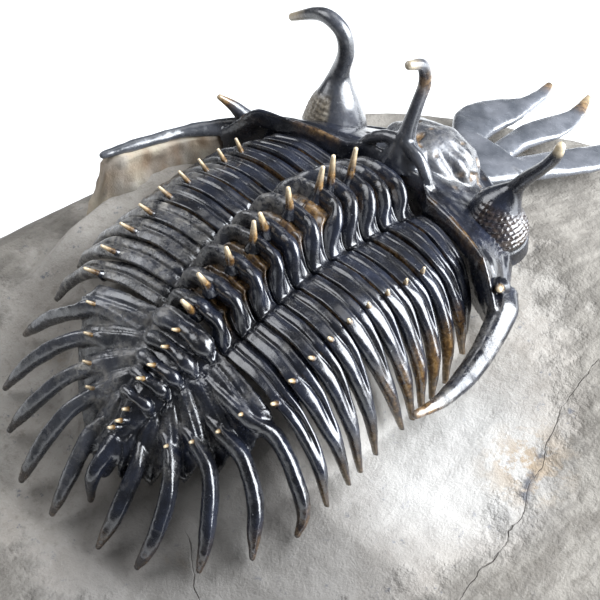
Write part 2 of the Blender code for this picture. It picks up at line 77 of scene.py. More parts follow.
CREST_TOP = 4.2
CREST_TOP_Y = 7.5
CREST_FALL = 0.026
SEGMENTS = 11
SPINELESS_SEGMENTS = 2
RING_BACKS = (18.9, 17.0, 15.0, 13.4, 11.3, 9.7, 6.6, 4.0, 2.5, 0.1, -2.2, -4.1)
FURROW_BACKS = (17.5, 15.75, 13.6, 11.6, 9.5, 7.5, 5.4, 3.4, 1.5, -0.5, -2.4, -4.2)
PLATE_BACKS = (16.1, 14.5, 12.95, 11.15, 9.15, 7.1, 5.0, 2.85, 0.85, -1.2, -3.3, -4.95)
BACKS = (RING_BACKS, FURROW_BACKS, PLATE_BACKS)
SEGMENT_GAP = 0.12
TIP_X = (12.9, 14.0, 14.8, 15.0, 15.1, 15.1, 15.1, 15.2, 15.4, 15.6, 15.7)
TIP_Y = (14.0, 12.5, 9.6, 7.8, 6.5, 5.4, 4.2, 1.1, -0.9, -2.4, -5.0)
TIP_LIFT = 0.8
MID_SPINE_X = 9.9
PLATE_DROP = 2.7
PLATE_LIFTS = {1: 1.5, 2: 0.9, 3: 0.35}
AXIS_SHARES = {9: 0.97, 10: 0.92, 11: 0.84}
FURROW_RISES = {9: 0.1, 10: 0.3, 11: 0.5}

RIBS = 5
RIB_CRESTS = (
    (0, -5.2, -0.7), (0, -6.4, -1.7), (0, -7.9, -2.6), (0, -9.1, -3.2), (0, -10.5, -4.0), (0, -12.6, -6.2),
)
RIB_FURROWS = (
    (3.1, -5.3, -1.7), (2.75, -6.5, -2.4), (2.35, -7.7, -3.1), (1.95, -8.7, -4.1), (1.6, -10.1, -5.2),
    (0.6, -12.4, -6.9),
)
RIB_MIDS = ((8.2, -6.5, -2.5), (7.1, -7.9, -4.2), (5.7, -9.4, -5.3), (4.1, -10.6, -6.1), (2.2, -11.9, -7.2))
RIB_BENDS = (
    (13.0, -6.8, -4.4), (11.4, -9.0, -6.2), (9.2, -11.3, -7.7), (6.2, -13.7, -8.9), (2.9, -14.9, -10.4)
)
# Courses of the long tail spines outside the shield, front pair to last, on its right and on its left
RIGHT_TAIL_SPINES = (
    ((10.8, -5.7, -4.1), (13.6, -6.3, -6.5), (15.0, -7.0, -8.6), (15.3, -8.0, -9.9)),
    ((9.9, -8.2, -5.5), (12.2, -9.4, -7.8), (13.2, -10.6, -9.7), (13.8, -11.4, -11.0)),
    ((8.2, -10.3, -6.7), (9.9, -12.2, -9.0), (10.7, -13.5, -10.9), (11.0, -14.4, -12.3)),
    ((5.9, -12.3, -7.6), (6.9, -14.5, -10.0), (6.9, -16.0, -12.1), (6.6, -16.9, -13.5)),
    ((2.7, -13.1, -8.5), (3.0, -15.2, -10.7), (2.9, -16.5, -12.5), (2.8, -17.5, -13.8)),
)
LEFT_TAIL_SPINES = (
    ((-9.9, -7.3, -4.1), (-12.5, -7.8, -6.3), (-14.3, -8.3, -8.4), (-15.6, -8.5, -10.1)),
    ((-9.0, -9.3, -5.4), (-11.0, -10.9, -7.5), (-12.3, -12.1, -9.6), (-13.4, -12.8, -11.6)),
    ((-7.0, -11.3, -6.5), (-8.5, -13.1, -8.8), (-9.6, -14.3, -10.9), (-10.4, -15.0, -12.6)),
    ((-4.8, -12.9, -7.4), (-5.6, -15.1, -9.8), (-6.1, -16.6, -12.1), (-6.5, -17.3, -13.7)),
    ((-2.3, -13.4, -8.4), (-2.1, -15.6, -10.6), (-2.1, -17.0, -12.5), (-2.3, -17.8, -13.9)),
)
AXIS_END = np.array((0.0, -12.6, -6.2))
MEDIAN_TIP = np.array((0.0, -15.6, -12.0))

HEAD_BACK_Y = 17.8
HEAD_BACK_CURVE = 0.016
HEAD_FRONT_Y = 27.8
HEAD_HALF_WIDTH = 15.4
HEAD_CORNER_Y = 15.6
HEAD_UNDERSIDE = -4.9
GLABELLA_CENTER = (22.9, -1.9)
EYE_Y = 21.9
LENS_PITCH = 0.5
LENS_ROW_SHARE = 0.87
# The part of an eye tower that is fused with the head: how far up it goes, and its share of the width
EYE_ROOT_TOP = 1.6
EYE_ROOT_SHARE = 0.93
LEFT_EYE_X = -9.4
RIGHT_EYE_X = 8.7
MIDDLE_HORN = (
    (0, 20.2, 1.5), (0, 20.7, 3.6), (0, 21.7, 5.8), (0, 22.5, 7.6), (0, 22.1, 9.6), (0, 20.5, 10.6)
)
LEFT_HORN = (
    (-9.8, 22.9, 2.3), (-9.2, 23.0, 5.0), (-9.6, 23.0, 6.9), (-11.1, 23.0, 7.6), (-12.8, 23.0, 7.1),
    (-15.2, 22.8, 5.5),
)
RIGHT_HORN = ((9.7, 22.9, 1.9), (10.6, 23.1, 3.5), (11.9, 23.4, 5.3), (13.0, 23.4, 7.2), (13.4, 23.4, 8.5))
RIGHT_GENAL_SPINE = (
    (13.8, 16.9, -2.9), (15.3, 15.2, -3.0), (16.2, 12.4, -3.9), (16.6, 9.4, -4.9), (16.7, 6.6, -5.2),
    (16.6, 3.8, -4.6),
)
LEFT_GENAL_SPINE = (
    (-13.8, 16.9, -2.5), (-15.6, 15.2, -2.4), (-17.4, 12.4, -2.1), (-18.4, 9.6, -1.8), (-19.2, 7.0, -1.6),
    (-19.9, 4.8, -1.5),
)
PALM_TILT = 0.22
PALM_START = (29.0, -4.4)
PALM = ((25.5, -1.2, 3.1), (27.0, -1.2, 4.2), (28.6, -1.6, 4.9), (30.0, -2.9, 5.5), (31.0, -3.8, 6.0))
PRONGS = (
    (
        (29.8, -2.8, 0.4), (31.2, -4.0, -0.3), (32.6, -4.9, -0.8), (34.6, -5.0, -0.95), (36.6, -4.4, -0.95),
        (39.2, -3.0, -1.4), (41.2, -3.0, -1.7), (43.2, -3.1, -2.5),
    ),
    (
        (29.8, 0.4, 2.7), (31.4, 0.45, 2.65), (33.4, 0.2, 2.35), (35.8, -0.1, 2.7), (38.0, 0.15, 3.1),
        (41.4, 0.7, 2.4), (44.6, 0.3, 0.9),
    ),
    (
        (29.8, 2.6, 5.4), (31.6, 2.9, 6.2), (34.0, 3.7, 7.3), (36.5, 4.6, 8.2), (39.0, 5.6, 8.2),
        (41.5, 6.3, 7.7), (43.4, 6.4, 6.9),
    ),
)

# Places on the stone's plan, each a center and a distance from it
SMOOTH_STONE = ((2.0, 2.0), 26.0)
# Painted shade: where the stone is darkened behind the tail on its right
PAINTED_SHADE_STONE = ((14.0, -16.0), 21.0)
# Painted light: where the smooth stone is lightened to the animal's right
PAINTED_LIGHT_STONE = ((19.5, 5.0), 11.0)
STAINED_STONE = ((24.0, 8.6), 4.6)
# Both ends of the dark chip beside the crack, with its width, and of the thin cracks
CHIP = ((24.0, 10.4), (26.2, 5.8), 0.7)
CRACKS = (
    ((22.1, 19.6), (22.8, 13.8)), ((22.8, 13.8), (26.7, 4.8)), ((26.7, 4.8), (28.3, -3.8)),
    ((7.2, -12.5), (12.6, -15.6)),
)

# Fineness of the surfaces
STATION_STEPS = 13
TOP_POINTS = 33
TAIL_STEP = 0.04
TAIL_COLUMNS = 61
HEAD_CUTS = 121
HEAD_STEPS = 40
EYE_SIDES = 96
EYE_STEPS = 26
FORK_STEPS = 24
FORK_SIDES = 28
STONE_POINTS = 300
TOP_RINGS = 105
APRON_RINGS = 95
SIDE_RINGS = 40
WALL_STEPS = 60
WALL_LEVELS = 24
HEAD_VOXEL = 0.15
TAIL_VOXEL = 0.11
TRIDENT_VOXEL = 0.12

# The floor in metres: its width, and how far it lies below the stone
FLOOR_SIZE = 4.0
FLOOR_DROP = 0.0002
# Numbers of the mix node's sockets: its share and two colors, and the color that comes out
MIX_INPUTS = (0, 6, 7)
MIX_OUTPUT = 2

# What each surface carries for its material, as a share at each of its points
MARKS = ("brown", "cream", "grey", "slate")


def curve(values, places):
    """Values along a smooth curve through the given rows, read at fractional row numbers."""
    values, places = np.asarray(values, float), np.asarray(places, float)
    padded = np.concatenate(([2 * values[0] - values[1]], values, [2 * values[-1] - values[-2]]))
    start = np.clip(np.floor(places).astype(int), 0, len(values) - 2)
    t = (places - start).reshape(-1, *[1] * (values.ndim - 1))
    before, near, far, after = (padded[start + k] for k in range(4))
    bend = 2 * before - 5 * near + 4 * far - after
    twist = -before + 3 * near - 3 * far + after
    return 0.5 * (2 * near + (far - before) * t + bend * t**2 + twist * t**3)


def unit(vectors):
    vectors = np.asarray(vectors, float)
    return vectors / np.linalg.norm(vectors, axis=-1, keepdims=True)


def ease(x, start, end):
    """0 before start and 1 after end, with a smooth rise between."""
    t = np.clip((x - start) / (end - start), 0, 1)
    return t * t * (3 - 2 * t)


def hump(x, center, width):
    """1 at the center, falling to nothing on both sides."""
    return np.exp(-(((x - center) / width) ** 2))


def lumps(points, size, seed=0):
    """Smooth random values between -1 and 1, with lumps of about this size."""
    placed = np.asarray(points) / size + 31.7 * seed
    cell = np.floor(placed).astype(np.int64)
    share = placed - cell
    share = share * share * (3 - 2 * share)
    total = np.zeros(len(placed))
    for corner in np.ndindex(2, 2, 2):
        x, y, z = (cell + corner).T
        mixed = (x * 73856093) ^ (y * 19349663) ^ (z * 83492791) ^ (seed * 2654435761)
        mixed = ((mixed ^ (mixed >> 13)) * 1274126177) & 0xFFFFFFFF
        value = ((mixed ^ (mixed >> 16)) & 0xFFFF) / 32767.5 - 1
        weight = np.prod(np.where(corner, share, 1 - share), axis=1)
        total += value * weight
    return total


def crest_height(y):
    return CREST_TOP - CREST_FALL * (y - CREST_TOP_Y) ** 2


def crest_slope(y):
    return -2 * CREST_FALL * (y - CREST_TOP_Y)


def ground(x, y):
    """Height of the stone round the animal: level by the head, falling to the tail and to the front."""
    places = (-40, -18, -12, -5, 2, 10, 16, 27, 33, 40, 50)
    heights = (-17, -14.6, -11.8, -9.6, -9.0, -7.8, -6.4, -6.1, -7.4, -9.2, -11)
    behind_wall = ease(x, -21.0, -18.8) * (1 - ease(x, -13, -9)) * ease(y, -6.5, 0.5) * (1 - ease(y, 9, 16))
    return np.interp(y, places, heights) + 3.4 * behind_wall - 0.003 * np.maximum(x - 14, 0) ** 2


class Shell:
    """A surface made of points, faces and marks; shells add up to a piece."""

    def __init__(self, points, faces, **marks):
        self.points = np.asarray(points, float)
        self.faces = [np.asarray(block, int) for block in faces]
        self.marks = {name: np.zeros(len(self.points)) + marks.get(name, 0.0) for name in MARKS}


def joined(shells):
    points, faces, offset = [], [], 0
    for shell in shells:
        points.append(shell.points)
        faces += [block + offset for block in shell.faces]
        offset += len(shell.points)
    made = Shell(np.vstack(points), faces)
    for name in MARKS:
        made.marks[name] = np.concatenate([shell.marks[name] for shell in shells])
    return made


def tube(rings, **marks):
    """A closed surface through equal cross-sections, with a fan of triangles over each end."""
    rings = np.asarray(rings, float)
    rows, count = rings.shape[:2]
    index = np.arange(rows * count).reshape(rows, count)
    here, there = index[:-1], index[1:]
    quads = np.stack((here, np.roll(here, -1, 1), np.roll(there, -1, 1), there), axis=-1).reshape(-1, 4)
    points = np.vstack((rings.reshape(-1, 3), rings[0].mean(0), rings[-1].mean(0)))
    last = rows * count
    first, final = index[0], index[-1]
    near_cap = np.column_stack((np.full(count, last), np.roll(first, -1), first))
    far_cap = np.column_stack((np.full(count, last + 1), final, np.roll(final, -1)))
    spread = {name: np.concatenate((value.reshape(-1), [value[0].mean(), value[-1].mean()]))
              for name, value in marks.items()}
    return Shell(points, (quads, near_cap, far_cap), **spread)


def swept(course, side, outlines):
    """Rings along a dense course; each outline has its width along side and its height square to both."""
    course = np.asarray(course, float)
    tangents = unit(np.gradient(course, axis=0))
    side = np.asarray(side, float)
    if side.ndim == 1:
        side = unit(side - (tangents @ side)[:, None] * tangents)
    up = unit(np.cross(tangents, side))
    return course[:, None] + outlines[..., :1] * side[:, None] + outlines[..., 1:] * up[:, None]


def circle(sides):
    turns = math.tau * np.arange(sides) / sides
    return np.column_stack((np.cos(turns), np.sin(turns)))


def spike(points, radii, side=(0.0, 1.0, 0.0), sides=14, steps=8, flat=1.0, keel=0.0):
    """A tapered round spine along a smooth curve, with a rounded tip."""
    places = np.linspace(0, len(points) - 1, (len(points) - 1) * steps + 1)
    course, radius = curve(points, places), curve(radii, places)
    near_tip = np.linspace(0, 1, 5)[1:]
    end, direction = course[-1], unit(course[-1] - course[-2])
    course = np.vstack((course, end + np.outer(np.sin(near_tip * math.pi / 2) * radius[-1], direction)))
    radius = np.concatenate((radius, radius[-1] * np.cos(near_tip * math.pi / 2) + 0.01))
    outline = circle(sides) * (1, flat)
    outline[:, 1] += keel * hump(outline[:, 0], 0, 0.45) * (outline[:, 1] > 0)
    return swept(course, side, outline[None] * radius[:, None, None])


def along(rings):
    """For each point of the rings, how far along them it is, from 0 to 1."""
    return np.repeat(np.linspace(0, 1, len(rings))[:, None], rings.shape[1], axis=1)


def raw_mesh(name, shell, scale=1.0):
    mesh = bpy.data.meshes.new(name)
    faces = [face for block in shell.faces for face in block.tolist()]
    mesh.from_pydata((shell.points * scale).tolist(), [], faces)
    work = bmesh.new()
    work.from_mesh(mesh)
    bmesh.ops.recalc_face_normals(work, faces=work.faces[:])
    work.to_mesh(mesh)
    work.free()
    return mesh


def fused(shells, voxel, rounds):
    """One smooth skin round several overlapping shells."""
    helper = bpy.data.objects.new("fusing", raw_mesh("fusing", joined(shells)))
    bpy.context.scene.collection.objects.link(helper)
    remesh = helper.modifiers.new("Fuse", "REMESH")
    remesh.mode = "VOXEL"
    remesh.voxel_size = voxel
    made = helper.evaluated_get(bpy.context.evaluated_depsgraph_get()).to_mesh()
    points = np.empty(len(made.vertices) * 3)
    made.vertices.foreach_get("co", points)
    points = points.reshape(-1, 3)
    corners = np.empty(len(made.polygons) * 4, int)
    made.polygons.foreach_get("vertices", corners)
    quads = corners.reshape(-1, 4)
    bpy.data.objects.remove(helper)
    return Shell(relaxed(points, quads, rounds), (quads,))


def relaxed(points, quads, rounds):
    """The points drawn towards their neighbours and back, which rounds steps off and keeps the form."""
    pairs = np.vstack((quads[:, (0, 1)], quads[:, (1, 2)], quads[:, (2, 3)], quads[:, (3, 0)]))
    count = np.bincount(pairs[:, 0], minlength=len(points))
    for turn in range(2 * rounds):
        step = 0.6 if turn % 2 == 0 else -0.4
        total = np.column_stack([
            np.bincount(pairs[:, 0], points[pairs[:, 1], axis], minlength=len(points)) for axis in range(3)
        ])
        points = points + step * (total / np.maximum(count, 1)[:, None] - points)
    return points


def normals_of(shell):
    mesh = raw_mesh("normals", shell)
    normals = np.empty(len(mesh.vertices) * 3)
    mesh.vertex_normals.foreach_get("vector", normals)
    bpy.data.meshes.remove(mesh)
    return normals.reshape(-1, 3)


def piece(name, shell, look, node):
    """An object of the shell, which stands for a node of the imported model."""
    shell.points = shell.points + FRAME_SHIFT
    mesh = raw_mesh(name, shell, MM)
    for mark in MARKS:
        layer = mesh.attributes.new(mark, "FLOAT", "POINT")
        layer.data.foreach_set("value", np.clip(shell.marks[mark], 0, 1).astype(np.float32))
    mesh.materials.append(look)
    mesh.shade_smooth()
    made = bpy.data.objects.new(name, mesh)
    bpy.context.scene.collection.objects.link(made)
    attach(made, "root")
    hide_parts(node)
    return made


# Sections of a segment, from the front edge over the top to the back edge: share of its length, and height
def ring_section(length):
    """The half ring that slides under the segment in front, and then the ring itself."""
    ring = min(0.9, 1.5 / length)
    back = ring - 0.5
    front = ((0.5 + 0.35 / length, -1.15), (0.5, -0.9), ((0.5 + back) / 2, -0.62), (back + 0.03, -0.98))
    profile = (
        (0.0, -0.8), (0.1, -0.34), (0.25, 0.05), (0.47, 0.26),
        (0.68, 0.2), (0.85, -0.1), (0.95, -0.5), (1, -0.9),
    )
    return (*front, *((back - along_ring * ring, height) for along_ring, height in profile))


def plate_section(length):
    """Two bands with a furrow between them, and a thin raised back edge."""
    return (
        (0.5 + 0.35 / length, -0.5), (0.5, -0.24), (0.47, -0.06), (0.38, 0.03), (0.18, 0.03), (0.08, -0.09),
        (0.0, -0.07), (-0.1, 0.03), (-0.33, 0.05), (-0.44, 0.05), (-0.495, -0.03), (-0.51, -0.3),
    )


def two_band_section(_):
    """A thin band in front, a groove and the main band behind."""
    return (
        (0.5, -0.8), (0.52, -0.5), (0.48, -0.18), (0.38, -0.06), (0.27, -0.12), (0.2, -0.34), (0.14, -0.3),
        (0.02, -0.02), (-0.16, 0.08), (-0.36, 0.0), (-0.48, -0.26), (-0.5, -0.7),
    )


def spine_section(_):
    """One round ridge."""
    return (
        (0.42, -0.85), (0.5, -0.62), (0.49, -0.42), (0.42, -0.2), (0.3, -0.05), (0.16, 0.05), (0.02, 0.1),
        (-0.14, 0.08), (-0.3, 0.0), (-0.42, -0.18), (-0.49, -0.45), (-0.44, -0.8),
    )


def segment_course(number, left):
    """The middle line of half a segment, from its crest out to its spine's tip, and its lengths there."""
    backs = [places[number] for places in BACKS]
    fronts = [places[number - 1] - SEGMENT_GAP for places in BACKS]
    crest_y, furrow_y, plate_y = ((front + back) / 2 for front, back in zip(fronts, backs))
    ring_length, furrow_length, plate_length = (front - back for front, back in zip(fronts, backs))
    crest, tip_x, tip_y = crest_height(crest_y), TIP_X[number - 1], TIP_Y[number - 1]
    lift, rise, axis = PLATE_LIFTS.get(number, 0), FURROW_RISES.get(number, 0), AXIS_SHARES.get(number, 1)
    plate_z = crest - PLATE_DROP + lift
    reach = tip_x - MID_SPINE_X
    tip_z = float(ground(-tip_x if left else tip_x, tip_y)) + TIP_LIFT
    course = (
        (0.0, crest_y, crest),
        (1.6 * axis, crest_y, crest - 0.25),
        (3.0 * axis, (crest_y + furrow_y) / 2, crest - 1.1 + 0.3 * rise),
        (3.8 * axis, furrow_y, crest - 2.3 + 0.5 * lift + rise),
        (4.8 * axis, furrow_y - 0.1, crest - 2.6 + 0.7 * lift + rise),
        (7.4, (furrow_y + plate_y) / 2, crest - 2.35 + lift + 0.4 * rise),
        (MID_SPINE_X, plate_y, plate_z),
        (MID_SPINE_X + 0.38 * reach, plate_y - 0.1, plate_z + 0.17 * (tip_z - plate_z)),
        (MID_SPINE_X + 0.78 * reach, (plate_y * 2 + tip_y) / 3, plate_z + 0.58 * (tip_z - plate_z)),
        (tip_x, tip_y, tip_z),
    )
    lengths = (ring_length, ring_length, (ring_length + furrow_length) / 2, furrow_length, furrow_length)
    lengths += ((furrow_length + plate_length) / 2, plate_length, 0.93 * plate_length, 1.2, 0.35)
    return course, lengths


def segment_outlines(lengths, places):
    """Cuts through half a segment at these places on its course, each its top and then its underside."""
    heights = (1.0, 1.05, 1.15, 0.9, 0.9, 1.0, 1.0, 1.0, 1.0, 0.5)
    depths = (1.5, 1.5, 1.4, 1.1, 1.0, 1.0, 1.0, 0.95, 0.8, 0.35)
    shapes = [ring_section] * 3 + [None] + [plate_section] * 3 + [two_band_section] + [spine_section] * 2
    sections = []
    for station, shape in enumerate(shapes):
        length = lengths[station]
        if shape:
            sections.append(np.array(shape(length)))
        else:
            inner, outer = (np.array(shapes[station + step](length)) for step in (-1, 1))
            sections.append((inner + outer) / 2)
    length, height, depth = (
        curve(np.array(values)[:, None], places) for values in (lengths, heights, depths)
    )
    outline = curve(np.array(sections), places)
    across = np.linspace(0, outline.shape[1] - 1, TOP_POINTS)
    top = np.stack([curve(row, across) for row in outline])
    top = top * np.stack((np.repeat(length, TOP_POINTS, 1), np.repeat(height, TOP_POINTS, 1)), axis=-1)
    under_share = np.array((-0.4, -0.2, 0.0, 0.2, 0.4))
    under = np.stack((under_share * length, -depth * np.ones(len(under_share))), axis=-1)
    return np.concatenate((top, under), axis=1)


def half_segment(number, left):
    """Rings of points from a segment's crest out to its spine's tip, their places and their middle line."""
    course, lengths = segment_course(number, left)
    places = np.linspace(0, 9, 9 * STATION_STEPS + 1)
    dense = curve(course, places)
    lobe = 0.3 if number >= 4 else 0.18
    on_ring = dense[:, 0] / AXIS_SHARES.get(number, 1)
    relief = lobe * hump(on_ring, 2.7, 0.8) - 0.14 * hump(on_ring, 1.3, 0.5)
    dense[:, 2] += relief - 0.4 * hump(on_ring, 4.1, 0.45)
    _, crest_y, _ = course[0]
    forward = unit((0, 1, crest_slope(crest_y) * (1 - 0.4 * PLATE_LIFTS.get(number, 0))))
    tangents = unit(np.gradient(dense, axis=0))
    square = unit(forward - (tangents @ forward)[:, None] * tangents)
    turning = ease(places, 5.8, 7.2)[:, None]
    side = unit(forward * (1 - turning) + square * turning)
    return swept(dense, side, segment_outlines(lengths, places)), places, dense


def segment_marks(rings, places, dense, number, left):
    """Brown half rings, back edges and spine ends, and the grey patches on the left of the axis."""
    rows, count = rings.shape[:2]
    across = np.zeros(count)
    across[:TOP_POINTS] = np.linspace(0, 1, TOP_POINTS)
    across[TOP_POINTS:] = 1
    along_course, reach = places[:, None] * np.ones(count), dense[:, :1] * np.ones(count)
    across = across * np.ones((rows, 1))
    flat = rings.reshape(-1, 3)
    patchy = lumps(flat, 1.3, 3).reshape(rows, count)
    brown = 0.6 * (1 - ease(across, 0.26, 0.36)) * (1 - ease(reach, 2.6, 3.6))
    back_edge = ease(across, 0.9, 0.94) * ease(reach, 4.2, 5.5) * (1 - ease(along_course, 5.6, 6.2))
    brown += 0.6 * back_edge * ease(patchy, -0.3, 0.2)
    amber = {2: 0.9, 3: 0.95, 4: 0.95, 5: 0.9, 6: 0.75, 7: 0.6}.get(number, 0.45)
    start = 7.35 if 2 <= number <= 7 else 7.9
    side_of_spine = ease(across, 0.45, 0.8) if not left else 1 - ease(across, 0.3, 0.7)
    on_spine = np.maximum(side_of_spine, 0.55 * ease(along_course, 8.3, 9))
    brown += amber * ease(along_course, start, start + 0.9) * on_spine
    cream = 0.25 * ease(along_course, 8.3, 9.0) * ease(across, 0.55, 0.9) * (0 if left else 1)
    grey = np.zeros_like(brown)
    if left:
        inner = ease(reach, 0.3, 1.0) * (1 - ease(reach, 3.4, 4.4))
        grey += inner * (0.75 if number >= 5 else 0.35) * (0.6 + 0.6 * patchy)
        outer = 0.85 if number >= 8 else 0.55 if number >= 5 else 0.15
        grey += ease(along_course, 5.3, 6.4) * outer * (0.8 + 0.5 * patchy)
        if number >= 8:
            grey += 0.6 * ease(reach, 3.6, 5.0) * (0.7 + 0.6 * patchy)
    else:
        worn = np.maximum(patchy - 0.1, 0) * (number >= 6)
        grey += 0.3 * ease(reach, 4.0, 5.0) * (1 - ease(reach, 8.5, 9.5)) * worn
    return {"brown": brown, "cream": cream, "grey": grey}


def back_spine(foot, tip, width):
    """A small spine from inside a plate to its cream tip, with a spreading foot."""
    foot, tip = np.array(foot, float), np.array(tip, float)
    middle = (foot + tip) / 2
    points = (foot - 0.55 * unit(tip - foot), foot, foot * 0.7 + middle * 0.3, middle, tip)
    radii = width * np.array((1.5, 0.95, 0.72, 0.58, 0.36))
    rings = spike(points, radii, (1, 0, 0), sides=12, steps=4)
    share = along(rings)
    return tube(rings, brown=0.95 * ease(share, 0.35, 0.55), cream=0.9 * ease(share, 0.55, 0.85))


# Axial spines, third segment to eleventh: foot and tip, each as y and z on the midline
AXIAL_SPINES = (
    ((13.7, 2.6), (14.4, 5.6)), ((11.5, 3.5), (11.8, 6.5)), ((10.0, 3.6), (10.6, 6.1)),
    ((6.9, 4.0), (6.7, 6.5)), ((4.2, 3.7), (3.6, 5.9)), ((2.8, 3.2), (2.9, 5.5)),
    ((0.4, 2.6), (-0.1, 4.8)), ((-2.1, 1.9), (-3.1, 4.1)), ((-3.8, 0.4), (-4.9, 2.5)),
)


def segment_spines(number):
    foot, tip = AXIAL_SPINES[number - SPINELESS_SEGMENTS - 1]
    yield back_spine((0, *foot), (0, *tip), 0.5)
    plate_y = (PLATE_BACKS[number] + PLATE_BACKS[number - 1]) / 2 - 0.55
    ring_y = (RING_BACKS[number] + RING_BACKS[number - 1]) / 2
    plate_z = crest_height(ring_y) - PLATE_DROP + PLATE_LIFTS.get(number, 0)
    slope = crest_slope(plate_y)
    for side in (-1, 1):
        foot = np.array((side * MID_SPINE_X, plate_y, plate_z - 0.25))
        length = 1.75 if side < 0 else 1.25
        yield back_spine(foot, foot + length * unit((side * 0.35, -slope - 0.35, 1)), 0.34)


def roughened(shell, amounts):
    """Moves the points along their normals by lumps of several sizes; amounts pairs a size with a height."""
    normals = normals_of(shell)
    for seed, (size, height) in enumerate(amounts):
        shell.points = shell.points + normals * (height * lumps(shell.points, size, 11 + seed))[:, None]
    return shell


def thorax(look):
    for number in range(1, SEGMENTS + 1):
        halves = {}
        for left in (True, False):
            rings, places, dense = half_segment(number, left)
            marks = segment_marks(rings, places, dense, number, left)
            halves[left] = rings * ((-1, 1, 1) if left else (1, 1, 1)), marks
        left_rings, left_marks = halves[True]
        right_rings, right_marks = halves[False]
        rings = np.concatenate((left_rings[:0:-1], right_rings))
        marks = {mark: np.concatenate((left_marks[mark][:0:-1], right_marks[mark])) for mark in left_marks}
        shells = [roughened(tube(rings, **marks), ((1.6, 0.05), (0.6, 0.025)))]
        if number > SPINELESS_SEGMENTS:
            shells += segment_spines(number)
        name = f"thoracic_segment_{number:02d}"
        piece(f"segment_{number:02d}", joined(shells), look, name)


def tail_top():
    """The top of the tail shield as rows of points, with its ribs."""
    ribs = np.arange(-0.5, RIBS + 0.001, TAIL_STEP)
    columns = np.linspace(0, 6, TAIL_COLUMNS)
    rows = []
    for rib in ribs:
        crest, furrow = (curve(row, np.array([max(rib, 0)]))[0] for row in (RIB_CRESTS, RIB_FURROWS))
        inside = np.array([np.clip(rib, 0, RIBS - 1)])
        mid, bend = curve(RIB_MIDS, inside)[0], curve(RIB_BENDS, inside)[0]
        if rib < 0:
            share = -rib / 0.5
            crest = crest + np.array((0, 0.97, 1.0)) * share
            furrow = furrow + np.array((0, 1.05, 0.95)) * share
            mid, bend = mid + np.array((1.0, 1.5, 1.0)) * share, bend + np.array((-0.8, 1.5, 1.2)) * share
        if rib > RIBS - 1:
            last = rib - RIBS + 1
            mid, bend = mid + np.array((-0.8, -1.2, -0.9)) * last, bend + np.array((-1.3, 0, -0.2)) * last
        down = furrow - crest
        half = np.array((
            crest,
            crest + down * (0.5, 0.5, 0.2),
            crest + down * (0.88, 0.88, 0.62),
            furrow,
            (furrow + mid) / 2 + (0, 0, 0.2),
            mid,
            mid * 0.6 + bend * 0.4 + (0, 0, -0.15),
        ))
        phase = rib - round(rib + 1e-6)
        band = math.cos(math.tau * phase)
        groove = hump(abs(phase), 0.5, 0.07)
        fine = curve(half, columns)
        on_axis = 1 - ease(columns, 2.4, 3.0)
        ring = -0.45 + 0.7 * ease(-rib, 0.2, 0.5)
        rib_height = 0.16 * band - 0.3 * groove - 0.24 * hump(phase, -0.12, 0.06)
        rib_height = rib_height * ease(columns, 3.0, 3.6) + 0.25 * band * ease(columns, 4.0, 5.5)
        fine[:, 2] += on_axis * ring + (1 - on_axis) * rib_height
        fine[:, 2] -= 0.25 * hump(columns, 3.0, 0.3)
        fine[:, 2] -= (0.1 + 0.7 * (0.5 - 0.5 * band)) * ease(columns, 5.0, 6.0) ** 2
        rows.append(fine)
    return np.array(rows)


def tail_rings():
    """Round rings across the axis of the tail, thickest beside its furrows."""
    for rib, size in enumerate((0.8, 0.64, 0.6, 0.55, 0.5)):
        crest, furrow = np.array(RIB_CRESTS[rib]), np.array(RIB_FURROWS[rib])
        if rib == 0:
            crest, furrow = crest + (0, 0.3, 0.1), furrow + (0, 0.25, 0.2)
        down = furrow - crest
        half = [crest + down * share for share in ((0.35, 0.35, 0.06), (0.72, 0.72, 0.32), (1.02, 1.02, 1.1))]
        course = (*(point * (-1, 1, 1) for point in half[::-1]), crest, *half)
        radii = size * np.array((0.4, 1.1, 0.92, 0.82, 0.92, 1.1, 0.4))
        yield tube(spike(course, radii, (0, 1, 0), sides=18, steps=8))


def tail_spines():
    """Marginal spines in pairs, the short one on the midline, and the bulge that ends the axis."""
    right_radii, left_radii = (0.5, 0.7, 0.7, 0.68, 0.52, 0.24), (0.5, 0.66, 0.6, 0.58, 0.45, 0.22)
    for side, courses, radii in ((1, RIGHT_TAIL_SPINES, right_radii), (-1, LEFT_TAIL_SPINES, left_radii)):
        for rib, outside in enumerate(courses):
            mid = np.array(RIB_MIDS[rib]) * (side, 1, 1)
            course = (mid * (0.45, 0.92, 0.94) - (0, 0, 0.55), mid - (0, 0, 0.55), *outside)
            across = (0.25, side, 0.3 * side)
            yield tube(spike(course, radii, across, sides=22, steps=12, flat=1.1, keel=0.22))
    middle = (AXIS_END + MEDIAN_TIP) / 2 + (0, -0.9, -0.2)
    yield tube(spike((AXIS_END + (0, 0.3, -1.2), middle, MEDIAN_TIP), (0.85, 0.65, 0.3), (1, 0, 0), sides=16))
    bulge = ((0, -11.6, -7.5), (0, -13.0, -8.2), (0, -14.0, -9.6))
    yield tube(spike(bulge, (1.2, 1.15, 0.7), (1, 0, 0), sides=24, flat=0.7))


def tail_beads():
    """Small spines on the rings and ribs, and the beads near the end of the axis."""
    for rib in range(RIBS):
        foot = np.array(RIB_CRESTS[rib]) + (0, -0.1, 0.25)
        if rib < RIBS - 1:
            yield back_spine(foot, foot + 1.0 * unit((0, -0.9, 0.8)), 0.32)
            for side in (-1, 1):
                foot = np.array(RIB_MIDS[rib]) * (side, 1, 1) - (0, 0.15, 0.1)
                yield back_spine(foot, foot + 1.05 * unit((side * 0.4, -0.8, 0.8)), 0.3)
    for x, y, z in ((0.0, -11.3, -4.9), (0.15, -12.2, -5.4), (-0.1, -12.8, -5.9)):
        yield back_spine((x, y + 0.3, z - 0.1), (x, y - 0.3, z + 0.35), 0.32)


